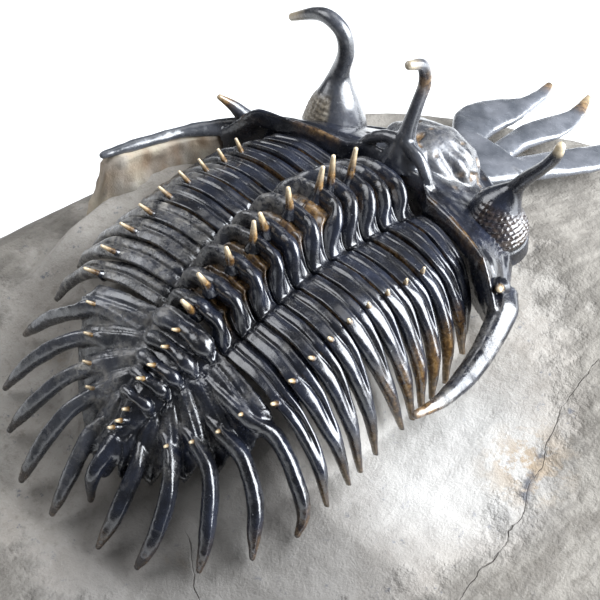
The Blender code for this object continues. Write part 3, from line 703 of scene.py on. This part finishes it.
def pygidium(look):
    half = tail_top()
    top = np.concatenate((half[:, :0:-1] * (-1, 1, 1), half), axis=1)
    across = abs(np.linspace(-1, 1, top.shape[1]))
    thickness = 1.1 - 0.5 * ease(across, 0.75, 1.0)
    bottom = (top - thickness[:, None] * (0, 0, 1))[:, ::-1]
    shield = tube(np.concatenate((top, bottom), axis=1))
    skin = fused([shield, *tail_rings(), *tail_spines()], TAIL_VOXEL, 1)
    skin = roughened(skin, ((1.5, 0.05), (0.5, 0.025)))
    x, y, z = skin.points.T
    lowest = ground(x, y) + 0.7
    patchy = lumps(skin.points, 1.2, 5)
    front = ease(y, -13.5, -9.0)
    low = 1 - ease(z - lowest, 0.2, 2.4)
    skin.marks["brown"] = low * (0.3 + 0.4 * front * ease(abs(x), 8.0, 11.0)) * (0.7 + 0.4 * patchy)
    inside = 1 - ease(np.hypot(x, 1.3 * (y + 8)), 7.5, 10.0)
    left = 1 - ease(x, -2.4, -0.2)
    skin.marks["grey"] = left * (0.45 + 0.8 * patchy) * (0.2 + 0.8 * inside)
    skin.marks["grey"] += 0.4 * ease(x, 1.6, 3.2) * np.maximum(patchy + 0.2, 0) * inside
    skin.marks["slate"] = left * (0.3 + 0.3 * inside * (0.5 + 0.5 * patchy))
    piece("tail_shield", joined([skin, *tail_beads()]), look, "pygidium")


def head_section(x):
    """One cut through the head shield at this x: back rim, cheek, front margin and flat underside."""
    reach = abs(x)
    back = HEAD_BACK_Y - HEAD_BACK_CURVE * reach**2
    back += (RING_BACKS[0] - HEAD_BACK_Y) * (1 - ease(reach, 2.5, 5))
    front = HEAD_FRONT_Y - (HEAD_FRONT_Y - HEAD_CORNER_Y) * (reach / HEAD_HALF_WIDTH) ** 2
    rim = 1.0 - 2.6 * float(ease(reach, 12.3, HEAD_HALF_WIDTH))
    margin = -3.7
    profile = ((0.0, 0.12), (0.12, 0.0), (0.28, 0.14), (0.5, 0.36), (0.8, 0.72), (1.0, 1.0))
    points = [(x, back + share * (front - back), rim + fall * (margin - rim)) for share, fall in profile]
    top = curve(points, np.linspace(0, len(points) - 1, HEAD_STEPS))
    behind = top[:, 1] - back
    border = 0.3 * hump(behind, 0.5, 0.3) - 0.35 * hump(behind, 1.3, 0.4)
    top[:, 2] += border - 0.55 * (1 - ease(behind, 0, 0.4))
    ahead = front - top[:, 1]
    top[:, 2] += 0.25 * hump(ahead, 0.4, 0.4) - 0.2 * hump(ahead, 1.3, 0.4)
    under = (
        (x, front - 0.3, HEAD_UNDERSIDE + 0.4),
        (x, front - 0.8, HEAD_UNDERSIDE),
        (x, back + 0.2, HEAD_UNDERSIDE),
    )
    return np.vstack((top, under))


def head_shield():
    stations = np.linspace(-HEAD_HALF_WIDTH + 0.1, HEAD_HALF_WIDTH - 0.1, HEAD_CUTS)
    return tube(np.array([head_section(x) for x in stations]))


def occipital_ring():
    arch = ((0, 0), (1.6, 0.25), (3.0, 1.15), (3.9, 2.4), (4.6, 3.6))
    half = [(x, 20.0 - 0.05 * x**2, 2.65 - drop) for x, drop in arch]
    course = [(-x, y, z) for x, y, z in half[:0:-1]] + half
    radii = [0.58 - 0.008 * x**2 for x, _, _ in course]
    return tube(spike(course, radii, (0, 1, 0), sides=20, steps=10))


def glabella():
    """The swollen middle of the head, with cross furrows on its sides and a pitted top."""
    rows, count = 70, 120
    up = np.linspace(-math.pi / 2 + 0.02, math.pi / 2 - 0.02, rows)[:, None] * np.ones(count)
    turn = math.tau * np.arange(count) / count * np.ones((rows, 1))
    x, y, z = np.cos(up) * np.cos(turn), np.cos(up) * np.sin(turn), np.sin(up)
    sides = ease(abs(x), 0.25, 0.6)
    furrows = 0.09 * sides * (hump(y, -0.55, 0.1) + hump(y, -0.12, 0.1) + 0.7 * hump(y, 0.28, 0.1))
    size = 1 - furrows
    center_y, center_z = GLABELLA_CENTER
    across = x * size * (4.7 + 0.7 * y)
    height = center_z + z * size * (3.7 - 0.3 * y)
    return tube(np.stack((across, center_y + y * 4.2, height), axis=-1))


def eye_tower(foot_x, course, widths, lens_side):
    """A tall eye: a round tower with rows of lenses on its outer face, drawn out into its horn."""
    waist_x = foot_x * 0.8 + course[0][0] * 0.2
    tower = ((foot_x, EYE_Y, -4.4), (foot_x, EYE_Y, -2.4), (waist_x, EYE_Y + 0.2, -0.2))
    points = (*tower, *course)
    radii = np.array((5.8, 5.6, 4.3, *widths)) / 2
    rings = spike(points, radii, (0, 1, 0), sides=EYE_SIDES, steps=EYE_STEPS)
    last = len(points) - 1
    share = np.linspace(0, last, last * EYE_STEPS + 1)
    share = np.concatenate((share, [last] * (len(rings) - len(share))))[:, None] * np.ones(EYE_SIDES)
    centers = rings.mean(axis=1, keepdims=True)
    outward = unit(rings - centers)
    radius = np.linalg.norm(rings - centers, axis=-1)
    facing = np.clip(outward @ unit(lens_side), 0, 1)
    zone = ease(facing, 0.02, 0.3) * ease(share, 0.85, 1.1) * (1 - ease(share, 2.15, 2.5))
    turn = np.arctan2(outward[..., 1], outward[..., 0])
    row = rings[..., 2] / (LENS_PITCH * LENS_ROW_SHARE)
    column = turn * radius.mean(axis=1, keepdims=True) / LENS_PITCH + 0.5 * (np.floor(row) % 2)
    bead_x, bead_z = (column % 1) - 0.5, (row % 1) - 0.5
    bead = np.sqrt(np.clip(1 - (bead_x**2 + bead_z**2) / 0.23, 0, 1))
    rings = rings + outward * (zone * (0.17 * bead - 0.07))[..., None]
    rings = rings - outward * (0.12 * hump(share, 0.8, 0.12) * ease(facing, 0.0, 0.3))[..., None]
    return rings, share, zone


def genal_spine(course, radii):
    return tube(spike(course, radii, (1, 0.3, 0), sides=24, steps=12, flat=0.8, keel=0.2))


def palm_height(y):
    start, height = PALM_START
    return height - PALM_TILT * (y - start)


def fork_plate(edges, thickness, rise=0.0):
    """A flat part of the trident with round edges, between its left and right edges."""
    rows = curve(edges, np.linspace(0, len(edges) - 1, FORK_STEPS * (len(edges) - 1) + 1))
    share = np.linspace(0, 1, len(rows))
    half = np.maximum((rows[:, 2] - rows[:, 1]) / 2, 0.12)
    middle = (rows[:, 1] + rows[:, 2]) / 2
    height = thickness * (1 - 0.5 * share if rise else np.ones(len(rows))) / 2
    lift = rise * np.maximum(share - 0.55, 0) ** 2
    outline = circle(FORK_SIDES)
    wide = np.sign(outline[:, 0]) * np.abs(outline[:, 0]) ** 0.8
    tall = np.sign(outline[:, 1]) * np.abs(outline[:, 1]) ** 0.8
    x = middle[:, None] + half[:, None] * wide
    z = (palm_height(rows[:, 0]) + lift)[:, None] + height[:, None] * tall
    y = rows[:, :1] * np.ones(FORK_SIDES)
    return tube(np.stack((x, y, z), axis=-1))


def trident():
    shells = [fork_plate(PALM, 1.5)] + [fork_plate(prong, 1.4, 1.0) for prong in PRONGS]
    skin = roughened(fused(shells, TRIDENT_VOXEL, 10), ((2.5, 0.12), (0.8, 0.04)))
    y = skin.points[:, 1]
    skin.marks["slate"][:] = 1.0
    skin.marks["brown"] = 0.8 * ease(y, 41.0, 43.2)
    skin.marks["cream"] = 0.4 * ease(y, 42.6, 44.2)
    return skin


def horn(points, widths, brown, cream):
    rings = spike(points, np.array(widths) / 2, (0, 1, 0), sides=24, steps=14)
    share = along(rings)
    return tube(rings, brown=brown(share), cream=cream(share), slate=0.3 + 0 * share)


def eye_roots(eyes):
    """The lower parts of the eye towers, a little thinner, for fusing with the head."""
    for rings, share, _ in eyes:
        low = rings[share[:, 0] < EYE_ROOT_TOP]
        centers = low.mean(axis=1, keepdims=True)
        yield tube(centers + (low - centers) * EYE_ROOT_SHARE)


def cheek_spines():
    """The short spines on the cheeks, right and left."""
    yield back_spine((14.3, 16.0, -1.2), (15.1, 14.9, 0.0), 0.6)
    yield horn(
        ((-13.6, 16.5, -1.9), (-14.3, 16.0, -0.8), (-15.0, 15.4, 0.3), (-15.8, 14.6, 1.3)),
        (2.2, 1.5, 1.0, 0.5),
        brown=lambda share: 0.8 * ease(share, 0.55, 0.8),
        cream=lambda share: 0.3 * ease(share, 0.8, 1),
    )


def head_skin(eyes):
    """The head without its towers and horns, fused, with its pits, its brown, grey and slate places, and a
    painted highlight of slate behind the glabella.
    """
    core = [head_shield(), occipital_ring(), glabella(), *eye_roots(eyes)]
    core.append(genal_spine(RIGHT_GENAL_SPINE, (1.4, 1.25, 1.05, 0.88, 0.66, 0.34)))
    core.append(genal_spine(LEFT_GENAL_SPINE, (1.3, 0.9, 0.62, 0.56, 0.5, 0.36)))
    core.append(tube(spike(((0, 20.4, 0.6), (0, 20.35, 2.4), (0, 20.65, 3.8)), (2.2, 1.15, 0.55), sides=20)))
    skin = roughened(fused(core, HEAD_VOXEL, 2), ((1.8, 0.07), (0.6, 0.03)))
    x, y, z = skin.points.T
    patchy = lumps(skin.points, 1.4, 6)
    on_glabella = ease(y, 20.8, 21.6) * (1 - ease(abs(x), 4.2, 5.4)) * ease(z, -3.5, -2.0)
    pits = on_glabella * ease(lumps(skin.points, 0.8, 6), 0.25, 0.6)
    relief = 0.14 * on_glabella * lumps(skin.points, 1.1, 31) - 0.22 * pits
    skin.points = skin.points + normals_of(skin) * relief[:, None]
    skin.marks["brown"] = 0.8 * pits
    back = HEAD_BACK_Y - HEAD_BACK_CURVE * x**2
    on_rim = hump(y - back, 0.5, 0.25) * ease(abs(x), 4.5, 6) * ease(z, -0.5, 0.5)
    skin.marks["brown"] += 0.6 * on_rim * ease(patchy, -0.3, 0.3)
    skin.marks["brown"] += 0.8 * (1 - ease(y, 4.5, 7.0)) * (x > 10)
    on_spine = (x > 14.5) * (1 - ease(y, 14.5, 16.5))
    skin.marks["grey"] = 0.25 * on_glabella + 0.45 * on_spine * ease(patchy, -0.4, 0.3)
    painted_highlight_behind_glabella = (1 - ease(abs(x), 3.0, 4.5)) * ease(y, 18.5, 19.3) * (1 - ease(y, 21.0, 22.0))
    skin.marks["slate"] = 0.7 * (1 - ease(y, 13.0, 15.5)) * (x < 0) + 0.35 * on_glabella
    # Painted highlight: slate lightens the dark calcite behind the glabella
    skin.marks["slate"] += 0.45 * painted_highlight_behind_glabella
    return skin


def cephalon(look):
    left_eye = eye_tower(LEFT_EYE_X, LEFT_HORN, (1.9, 1.5, 1.4, 1.35, 1.15, 0.75), (-0.9, -0.6, 0.0))
    right_eye = eye_tower(RIGHT_EYE_X, RIGHT_HORN, (1.6, 1.2, 1.05, 1.05, 0.8), (0.85, -0.5, 0.0))
    shells = [head_skin((left_eye, right_eye)), *cheek_spines(), trident()]
    for (rings, share, zone), worn in ((left_eye, 1.0), (right_eye, 0.0)):
        shells.append(tube(
            rings,
            brown=(1 - worn) * 0.15 * zone + 0.3 * ease(share, 7.0, 7.8) * worn,
            cream=worn * (0.6 * ease(share, 7.2, 7.9) + 0.3 * zone)
            + (1 - worn) * 0.75 * ease(share, 6.2, 6.9),
            grey=worn * (1.0 * zone + 0.1 * ease(share, 1.0, 2.0)),
            slate=worn * (0.35 - 0.2 * zone),
        ))
    shells.append(horn(
        MIDDLE_HORN, (2.4, 1.4, 1.1, 1.1, 1.05, 0.8),
        brown=lambda share: 0.5 * hump(share, 0.6, 0.1),
        cream=lambda share: 0.4 * ease(share, 0.8, 0.95),
    ))
    piece("head", joined(shells), look, "cephalon")


def stone_outline(directions):
    """Points of the stone's outline in these directions from the animal, at the stone's exact size."""
    places = np.linspace(0, len(STONE_OUTLINE), len(STONE_OUTLINE) * 12 + 1)[:-1]
    closed = STONE_OUTLINE[-1:] + STONE_OUTLINE + STONE_OUTLINE[:2]
    outline = curve(closed, places + 1) - FOOTPRINT_CENTER
    turns = np.arctan2(outline[:, 1], outline[:, 0])
    order = np.argsort(turns)
    radii = np.interp(directions, turns[order], np.hypot(*outline.T)[order], period=math.tau)
    points = FOOTPRINT_CENTER + radii[:, None] * np.column_stack((np.cos(directions), np.sin(directions)))
    low, high = points.min(axis=0), points.max(axis=0)
    return (points - (low + high) / 2) * STONE_SIZE / (high - low) - FRAME_SHIFT[:2]


def footprint(directions):
    x, y = np.cos(directions), np.sin(directions)
    radii = 1 / np.hypot(x / FOOTPRINT_HALF_WIDTH, y / np.where(y > 0, FOOTPRINT_AHEAD, FOOTPRINT_BEHIND))
    return FOOTPRINT_CENTER + radii[:, None] * np.column_stack((x, y))


def pedestal(x, y):
    """Height of the stone left standing under the animal."""
    narrowing = np.interp(y, (-18, -16, -13, -10, -6), (0.1, 0.35, 0.6, 0.8, 1.0))
    reach = abs(x) * 1.07 / narrowing
    places = (0, 2.5, 4.2, 9, 10.6, 12, 13.6, 15, 16)
    drops = (1.2, 1.7, 3.2, 3.4, 4.1, 5.6, 8.5, 13, 20)
    drop = np.interp(reach, places, drops)
    behind_tail = 0.3 * np.maximum(-10.5 - y, 0) ** 2
    under_tail = 0.9 * ease(-y, 2.5, 5.5)
    under_head = 7.0 * ease(y, 13.5, 16.5)
    return crest_height(y) - drop - PEDESTAL_DEPTH - behind_tail - under_tail - under_head


def soft_max(first, second, width):
    """The higher of two heights, with a rounded valley where they meet."""
    return 0.5 * (first + second + np.hypot(first - second, width))


def stone_height(x, y):
    height = soft_max(ground(x, y), pedestal(x, y), 0.7)
    flat = np.column_stack((x.ravel(), y.ravel(), np.zeros(x.size)))
    texture = 0.28 * lumps(flat, 9, 21) + 0.12 * lumps(flat, 3.2, 22) + 0.05 * lumps(flat, 1.1, 23)
    return height - 0.25 + texture.reshape(x.shape)


def genal_wall():
    """The thin wall of stone left under the left genal spine, lumpy on its face and spreading at its foot."""
    places = np.linspace(0, len(WALL_TOPS) - 1, WALL_STEPS)
    tops = curve(WALL_TOPS, places)
    rings = []
    for share, (x, y, top) in zip(np.linspace(0, 1, WALL_STEPS), tops):
        end = ease(share, 0.8, 1.0)
        half = WALL_THICKNESS / 2 * (1 - 0.45 * end**2)
        heights = np.linspace(WALL_FOOT, top - 0.5 * end**3, WALL_LEVELS)
        below = top - heights
        bulge = 0.8 * hump(share, 0.86, 0.14) * hump(heights, -5.0, 2.0)
        behind = 0.22 * below * end**2
        inner = np.column_stack((x + half + bulge + 0.03 * below**1.5, y - behind, heights))
        outer = np.column_stack((x - half - 0.1 * below, y - behind, heights))
        rings.append(np.vstack((inner, outer[::-1])))
    made = roughened(tube(rings), ((2.2, 0.35), (0.8, 0.16), (0.35, 0.06)))
    height = made.points[:, 2]
    streaks = lumps(made.points * (1, 1, 0.35), 0.7, 12)
    made.marks["cream"] = 0.15 + 0.45 * ease(lumps(made.points, 1.5, 9), -0.2, 0.6)
    made.marks["brown"] = 0.4 + 0.4 * hump(height, -3.2, 0.7) + 0.5 * streaks
    return made


def matrix(look):
    """The stone: rings of points from its middle to the rim, down its side and over its flat underside."""
    directions = math.tau * np.arange(STONE_POINTS) / STONE_POINTS
    inner, outer = footprint(directions), stone_outline(directions)
    rings = []
    for share in np.linspace(0.01, 1, TOP_RINGS) ** 0.8:
        plan = FOOTPRINT_CENTER + (inner - FOOTPRINT_CENTER) * share
        rings.append(np.column_stack((plan, stone_height(*plan.T))))
    for share in np.linspace(0, 1, APRON_RINGS)[1:]:
        plan = inner + (outer - inner) * share
        rim = RIM_DROP * max(share - 0.6, 0) ** 2 / 0.4**2
        rings.append(np.column_stack((plan, stone_height(*plan.T) - rim)))
    underside = -FRAME_SHIFT[2]
    edge = rings[-1]
    edge[:, :2] = (edge[:, :2] + FRAME_SHIFT[:2]) * 0.995 - FRAME_SHIFT[:2]
    for share in np.linspace(0, 1, SIDE_RINGS)[1:]:
        height = edge[:, 2] * (1 - share) + underside * share
        narrow = 1 - 0.04 * ease(share, 0.45, 1.0)
        plan = (outer + FRAME_SHIFT[:2]) * narrow - FRAME_SHIFT[:2]
        ring = np.column_stack((plan, height))
        inward = unit(np.column_stack((-(plan + FRAME_SHIFT[:2]), np.zeros(STONE_POINTS))))
        chips = 0.5 + 0.5 * lumps(ring, 4.5, 24) + 0.25 * lumps(ring, 1.5, 25)
        fade = 1 - ease(share, 0.85, 1.0)
        rings.append(ring + inward * (0.8 * chips * fade * ease(share, 0.0, 0.1))[:, None])
    body = tube(rings)
    piece("stone", joined([body, genal_wall()]), look, "matrix")


class Look:
    """A material's node tree, with short ways to add nodes."""

    def __init__(self, name):
        self.material = bpy.data.materials.new(name)
        self.material.use_nodes = True
        self.tree = self.material.node_tree
        self.shader = self.tree.nodes["Principled BSDF"]
        self.place = self.add("ShaderNodeTexCoord").outputs["Object"]

    def add(self, kind, sockets=None, **settings):
        """A new node with these settings, and these numbers, colors or links on its input sockets."""
        node = self.tree.nodes.new(kind)
        for key, value in settings.items():
            setattr(node, key, value)
        for socket, value in (sockets or {}).items():
            self.feed(node.inputs[socket], value)
        return node

    def feed(self, socket, value):
        if isinstance(value, bpy.types.NodeSocket):
            self.tree.links.new(value, socket)
        else:
            socket.default_value = value

    def math(self, operation, first, second=0.0, clamp=False):
        sockets = {0: first, 1: second}
        return self.add("ShaderNodeMath", sockets, operation=operation, use_clamp=clamp).outputs[0]

    def times(self, first, second, clamp=False):
        return self.math("MULTIPLY", first, second, clamp)

    def plus(self, first, second, clamp=False):
        return self.math("ADD", first, second, clamp)

    def mark(self, name):
        return self.add("ShaderNodeAttribute", attribute_name=name).outputs["Fac"]

    def squeezed(self, scale, turn=(0, 0, 0)):
        sockets = {"Scale": scale, "Rotation": turn, "Vector": self.place}
        return self.add("ShaderNodeMapping", sockets).outputs[0]

    def noise(self, size, detail=4.0, roughness=0.55, place=None, distortion=0.0):
        """Cloudy values round 0.5, with lumps of this size in millimetres."""
        sockets = {"Vector": place or self.place, "Scale": 1 / (size * MM), "Detail": detail}
        sockets |= {"Roughness": roughness, "Distortion": distortion}
        return self.add("ShaderNodeTexNoise", sockets).outputs["Fac"]

    def span(self, value, low, high, bottom=0.0, top=1.0):
        """The value stretched so that low becomes bottom and high becomes top, and no further."""
        sockets = {"Value": value, "From Min": low, "From Max": high, "To Min": bottom, "To Max": top}
        node = self.add("ShaderNodeMapRange", sockets, clamp=True, interpolation_type="SMOOTHSTEP")
        return node.outputs[0]

    def mix(self, share, first, second):
        colors = [(*color, 1) if isinstance(color, tuple) else color for color in (first, second)]
        sockets = dict(zip(MIX_INPUTS, (share, *colors)))
        return self.add("ShaderNodeMix", sockets, data_type="RGBA").outputs[MIX_OUTPUT]

    def vectors(self, operation, first, second):
        return self.add("ShaderNodeVectorMath", {0: first, 1: (*second, 0.0)}, operation=operation).outputs

    def reach(self, start, direction):
        """How far past the start a point lies in this direction of the plan, in millimetres."""
        away = self.vectors("SUBTRACT", self.place, (np.array(start) + FRAME_SHIFT[:2]) * MM)[0]
        return self.vectors("DOT_PRODUCT", away, np.array(direction) / MM)["Value"]

    def far_from(self, center, distance):
        """0 at the center and 1 at this distance from it, seen from above."""
        east, north = (self.math("POWER", self.reach(center, axis), 2.0) for axis in ((1, 0), (0, 1)))
        return self.math("DIVIDE", self.math("SQRT", self.plus(east, north)), distance)

    def near(self, center, distance):
        """1 at the center, falling to 0 at this distance from it."""
        return self.math("SUBTRACT", 1.0, self.far_from(center, distance), clamp=True)

    def crack(self, start, end, width=0.07):
        """A thin wandering line between two places, as a share that fades at its ends."""
        course = np.array(end) - start
        length = np.linalg.norm(course)
        ahead = self.reach(start, course / length)
        wander = self.times(self.math("SUBTRACT", self.noise(3.5, 4, 0.45), 0.5), 2.2)
        aside = self.plus(self.reach(start, (-course[1] / length, course[0] / length)), wander)
        line = self.span(self.math("ABSOLUTE", aside), 0.0, width, 1.0, 0.0)
        ended = self.span(ahead, length - 0.6, length + 0.3, 1.0, 0.0)
        inside = self.times(self.span(ahead, -0.3, 0.6), ended)
        return self.times(line, inside)

    def bump(self, height, distance, strength=1.0, normal=None):
        sockets = {"Strength": strength, "Distance": distance * MM, "Height": height}
        if normal:
            sockets["Normal"] = normal
        return self.add("ShaderNodeBump", sockets).outputs[0]

    def finish(self, color, roughness, normal):
        self.feed(self.shader.inputs["Base Color"], color)
        self.feed(self.shader.inputs["Roughness"], roughness)
        self.feed(self.shader.inputs["Normal"], normal)
        return self.material


def calcite(name):
    """Polished black to slate-blue calcite, brown and cream where it is thin and grey where it is worn."""
    look = Look(name)
    brown, cream, grey, slate = (look.mark(mark) for mark in MARKS)
    cloud, fine, grain = look.noise(2.6, 5), look.noise(0.5, 4, 0.6), look.noise(0.16, 3)
    color = look.mix(look.span(cloud, 0.35, 0.7), (0.005, 0.0055, 0.008), (0.014, 0.017, 0.028))
    color = look.mix(look.span(fine, 0.62, 0.78, 0.0, 0.8), color, (0.04, 0.042, 0.055))
    flecks = look.span(look.noise(0.28, 2, 0.5), 0.74, 0.79)
    color = look.mix(look.times(flecks, 0.6), color, (0.42, 0.43, 0.46))
    slaty = look.mix(look.span(cloud, 0.3, 0.7), (0.055, 0.06, 0.07), (0.125, 0.13, 0.145))
    color = look.mix(slate, color, slaty)
    amber = look.mix(look.span(fine, 0.3, 0.7), (0.03, 0.012, 0.004), (0.25, 0.142, 0.045))
    share = look.times(brown, look.span(look.noise(0.9, 4), 0.2, 0.5, 0.55, 1.0), clamp=True)
    color = look.mix(share, color, amber)
    wear = look.span(look.noise(0.7, 5, 0.7), 0.38, 0.62)
    worn = look.mix(wear, (0.035, 0.034, 0.036), (0.26, 0.245, 0.22))
    worn_share = look.times(grey, look.span(look.noise(0.8, 5, 0.75), 0.42, 0.56, 0.1, 1.0), clamp=True)
    color = look.mix(worn_share, color, worn)
    color = look.mix(cream, color, look.mix(fine, (0.50, 0.37, 0.20), (0.72, 0.62, 0.45)))
    roughness = look.span(fine, 0.3, 0.75, 0.15, 0.33)
    roughness = look.plus(roughness, look.times(worn_share, 0.3))
    roughness = look.plus(roughness, look.times(cream, 0.12))
    scratches = look.noise(0.22, 3, 0.6, look.squeezed((0.22, 1.0, 0.5), (0, 0, 0.35)))
    tooled = look.times(worn_share, look.noise(0.35, 4, 0.7, distortion=0.6))
    normal = look.bump(cloud, 0.12, 0.5)
    normal = look.bump(scratches, 0.03, 0.5, normal)
    normal = look.bump(grain, 0.02, 0.45, normal)
    normal = look.bump(tooled, 0.12, 0.8, normal)
    look.shader.inputs["Specular IOR Level"].default_value = 0.75
    look.shader.inputs["Coat Weight"].default_value = 0.4
    look.shader.inputs["Coat Roughness"].default_value = 0.16
    return look.finish(color, roughness, normal)


def stone_cracks(look):
    """The broken thin cracks in the stone and the dark chip beside one of them, each as a share."""
    cracks = 0.0
    for start, end in CRACKS:
        cracks = look.plus(cracks, look.crack(start, end), clamp=True)
    cracks = look.times(cracks, look.span(look.noise(1.6, 3), 0.4, 0.55, 0.15, 1.0))
    return cracks, look.times(look.crack(*CHIP), look.span(look.noise(1.2, 4), 0.36, 0.5))


def limestone():
    """Grey limestone, smooth round the animal and rough further out, with flecks, stains and cracks; painted
    shade behind the tail and a painted pool of light to the animal's right.
    """
    look = Look("limestone_surface")
    brown, cream = look.mark("brown"), look.mark("cream")
    broad, middle = look.noise(16, 3), look.noise(3.5, 6, 0.6)
    fine, grain = look.noise(0.7, 5, 0.7), look.noise(0.2, 3, 0.7)
    rough = look.plus(look.far_from(*SMOOTH_STONE), look.times(middle, 0.5))
    rough = look.span(rough, 1.12, 1.26)
    color = look.mix(look.span(broad, 0.35, 0.65), (0.27, 0.246, 0.218), (0.335, 0.315, 0.285))
    # Each layer over it: its cloud, where the cloud starts to show and is full, its strongest share, its tone
    for cloud, low, high, most, tone in (
        (middle, 0.38, 0.68, 0.6, (0.41, 0.39, 0.36)),
        (fine, 0.5, 0.72, 0.5, (0.17, 0.15, 0.13)),
        (grain, 0.55, 0.75, 0.4, (0.46, 0.44, 0.41)),
        (look.noise(1.2, 6, 0.75), 0.6, 0.68, 0.8, (0.10, 0.11, 0.14)),
    ):
        color = look.mix(look.span(cloud, low, high, 0.0, most), color, tone)
    color = look.mix(look.times(rough, 0.85), color, (0.105, 0.095, 0.082))
    strokes = look.noise(1.6, 4, 0.65, look.squeezed((1.0, 0.3, 1.0), (0, 0, -0.75)))
    strokes = look.times(rough, look.span(strokes, 0.4, 0.62, 0.0, 0.9), clamp=True)
    color = look.mix(strokes, color, (0.21, 0.195, 0.172))
    # Painted shade: the stone darkened behind the tail on its right
    color = look.mix(look.span(look.near(*PAINTED_SHADE_STONE), 0.0, 0.6, 0.0, 0.65), color, (0.13, 0.125, 0.12))
    # Painted light: a pool of light painted on the smooth stone to the animal's right
    color = look.mix(look.span(look.near(*PAINTED_LIGHT_STONE), 0.0, 0.7, 0.0, 0.5), color, (0.50, 0.495, 0.485))
    stain = look.span(look.noise(9, 4, 0.6), 0.62, 0.74, 0.0, 0.4)
    stain = look.plus(stain, look.near(*STAINED_STONE), clamp=True)
    stain = look.times(stain, look.span(look.noise(2.0, 5, 0.75), 0.44, 0.56, 0.0, 0.9))
    color = look.mix(stain, color, (0.25, 0.18, 0.105))
    cracks, chip = stone_cracks(look)
    color = look.mix(look.times(cracks, 0.6), color, (0.07, 0.056, 0.0462))
    color = look.mix(look.times(chip, 0.8), color, (0.04, 0.045, 0.06))
    color = look.mix(cream, color, look.mix(fine, (0.504, 0.392, 0.266), (0.72, 0.70, 0.56)))
    color = look.mix(look.times(brown, 0.8, clamp=True), color, (0.182, 0.112, 0.063))
    lines = look.noise(0.5, 3, 0.6, look.squeezed((1.0, 0.16, 1.0), (0, 0, -0.75)))
    normal = look.bump(middle, 0.3, 0.6)
    normal = look.bump(look.times(rough, look.noise(1.8, 5, 0.6)), 0.6, 0.6, normal)
    normal = look.bump(lines, 0.05, 0.5, normal)
    normal = look.bump(fine, 0.1, 0.8, normal)
    normal = look.bump(grain, 0.06, 0.9, normal)
    normal = look.bump(look.math("SUBTRACT", 1.0, cracks), 0.25, 1.0, normal)
    look.shader.inputs["Specular IOR Level"].default_value = 0.3
    return look.finish(color, look.span(fine, 0.3, 0.7, 0.72, 0.95), normal)


def floor():
    """A wide pale floor under the stone."""
    bpy.ops.mesh.primitive_plane_add(size=FLOOR_SIZE, location=(0, 0, -FLOOR_DROP))
    made = bpy.context.object
    made.name = "floor"
    look = Look("floor_paper")
    color = look.mix(look.noise(40, 3), (0.80, 0.80, 0.79), (0.86, 0.86, 0.85))
    made.data.materials.append(look.finish(color, 0.9, look.bump(look.noise(1.0, 3), 0.02, 0.2)))


def view_axes():
    """The camera's right, up and back directions."""
    turn, rise = math.radians(CAMERA_AZIMUTH), math.radians(CAMERA_ELEVATION)
    right = np.array((math.cos(turn), math.sin(turn), 0.0))
    back = np.array((math.sin(turn) * math.cos(rise), -math.cos(turn) * math.cos(rise), math.sin(rise)))
    return right, np.cross(back, right), back


def camera():
    right, up, back = view_axes()
    data = bpy.data.cameras.new("camera")
    data.sensor_fit = "AUTO"
    data.angle = math.radians(CAMERA_FIELD)
    data.clip_start, data.clip_end = 0.01, 20
    made = bpy.data.objects.new("camera", data)
    place = back * CAMERA_DISTANCE - CAMERA_OFFSET[0] * right - CAMERA_OFFSET[1] * up + FRAME_SHIFT
    turned = Matrix(np.column_stack((right, up, back)).tolist()).to_4x4()
    turned.translation = place * MM
    made.matrix_world = turned
    bpy.context.scene.collection.objects.link(made)
    bpy.context.scene.camera = made


def light(name, direction, distance, size, power, color):
    """A soft square light in this direction of the view (right, up, back), aimed at the animal."""
    aim = unit(np.array(direction) @ np.array(view_axes()))
    data = bpy.data.lights.new(name, "AREA")
    data.shape = "SQUARE"
    data.size = size * MM
    data.energy = power
    data.color = color
    made = bpy.data.objects.new(name, data)
    made.location = (aim * distance + FRAME_SHIFT) * MM
    bpy.context.scene.collection.objects.link(made)
    side = unit(np.cross((0.01, 0.02, 1.0), aim))
    turn = Matrix(np.column_stack((side, np.cross(aim, side), aim)).tolist())
    made.rotation_euler = turn.to_euler()


def lights():
    light("key", (0.9, 0.3, 0.36), 240, 260, 3.5, (0.91, 0.95, 1.0))
    light("fill", (-0.7, 0.7, 0.25), 330, 220, 0.7, (0.94, 0.96, 1.0))
    light("top", (0.25, 0.85, 0.4), 420, 260, 0.35, (1.0, 1.0, 1.0))
    world = bpy.data.worlds.new("studio")
    world.use_nodes = True
    background = world.node_tree.nodes["Background"]
    background.inputs["Color"].default_value = (0.92, 0.95, 1.0, 1)
    background.inputs["Strength"].default_value = 0.12
    bpy.context.scene.world = world


def tones():
    """Plain contrast, with whites that may burn out as on polished stone."""
    bpy.context.scene.view_settings.view_transform = "Standard"
    bpy.context.scene.view_settings.look = "None"


camera()
lights()
tones()
floor()
matrix(limestone())
thorax(calcite("thorax_surface"))
pygidium(calcite("tail_surface"))
cephalon(calcite("head_surface"))
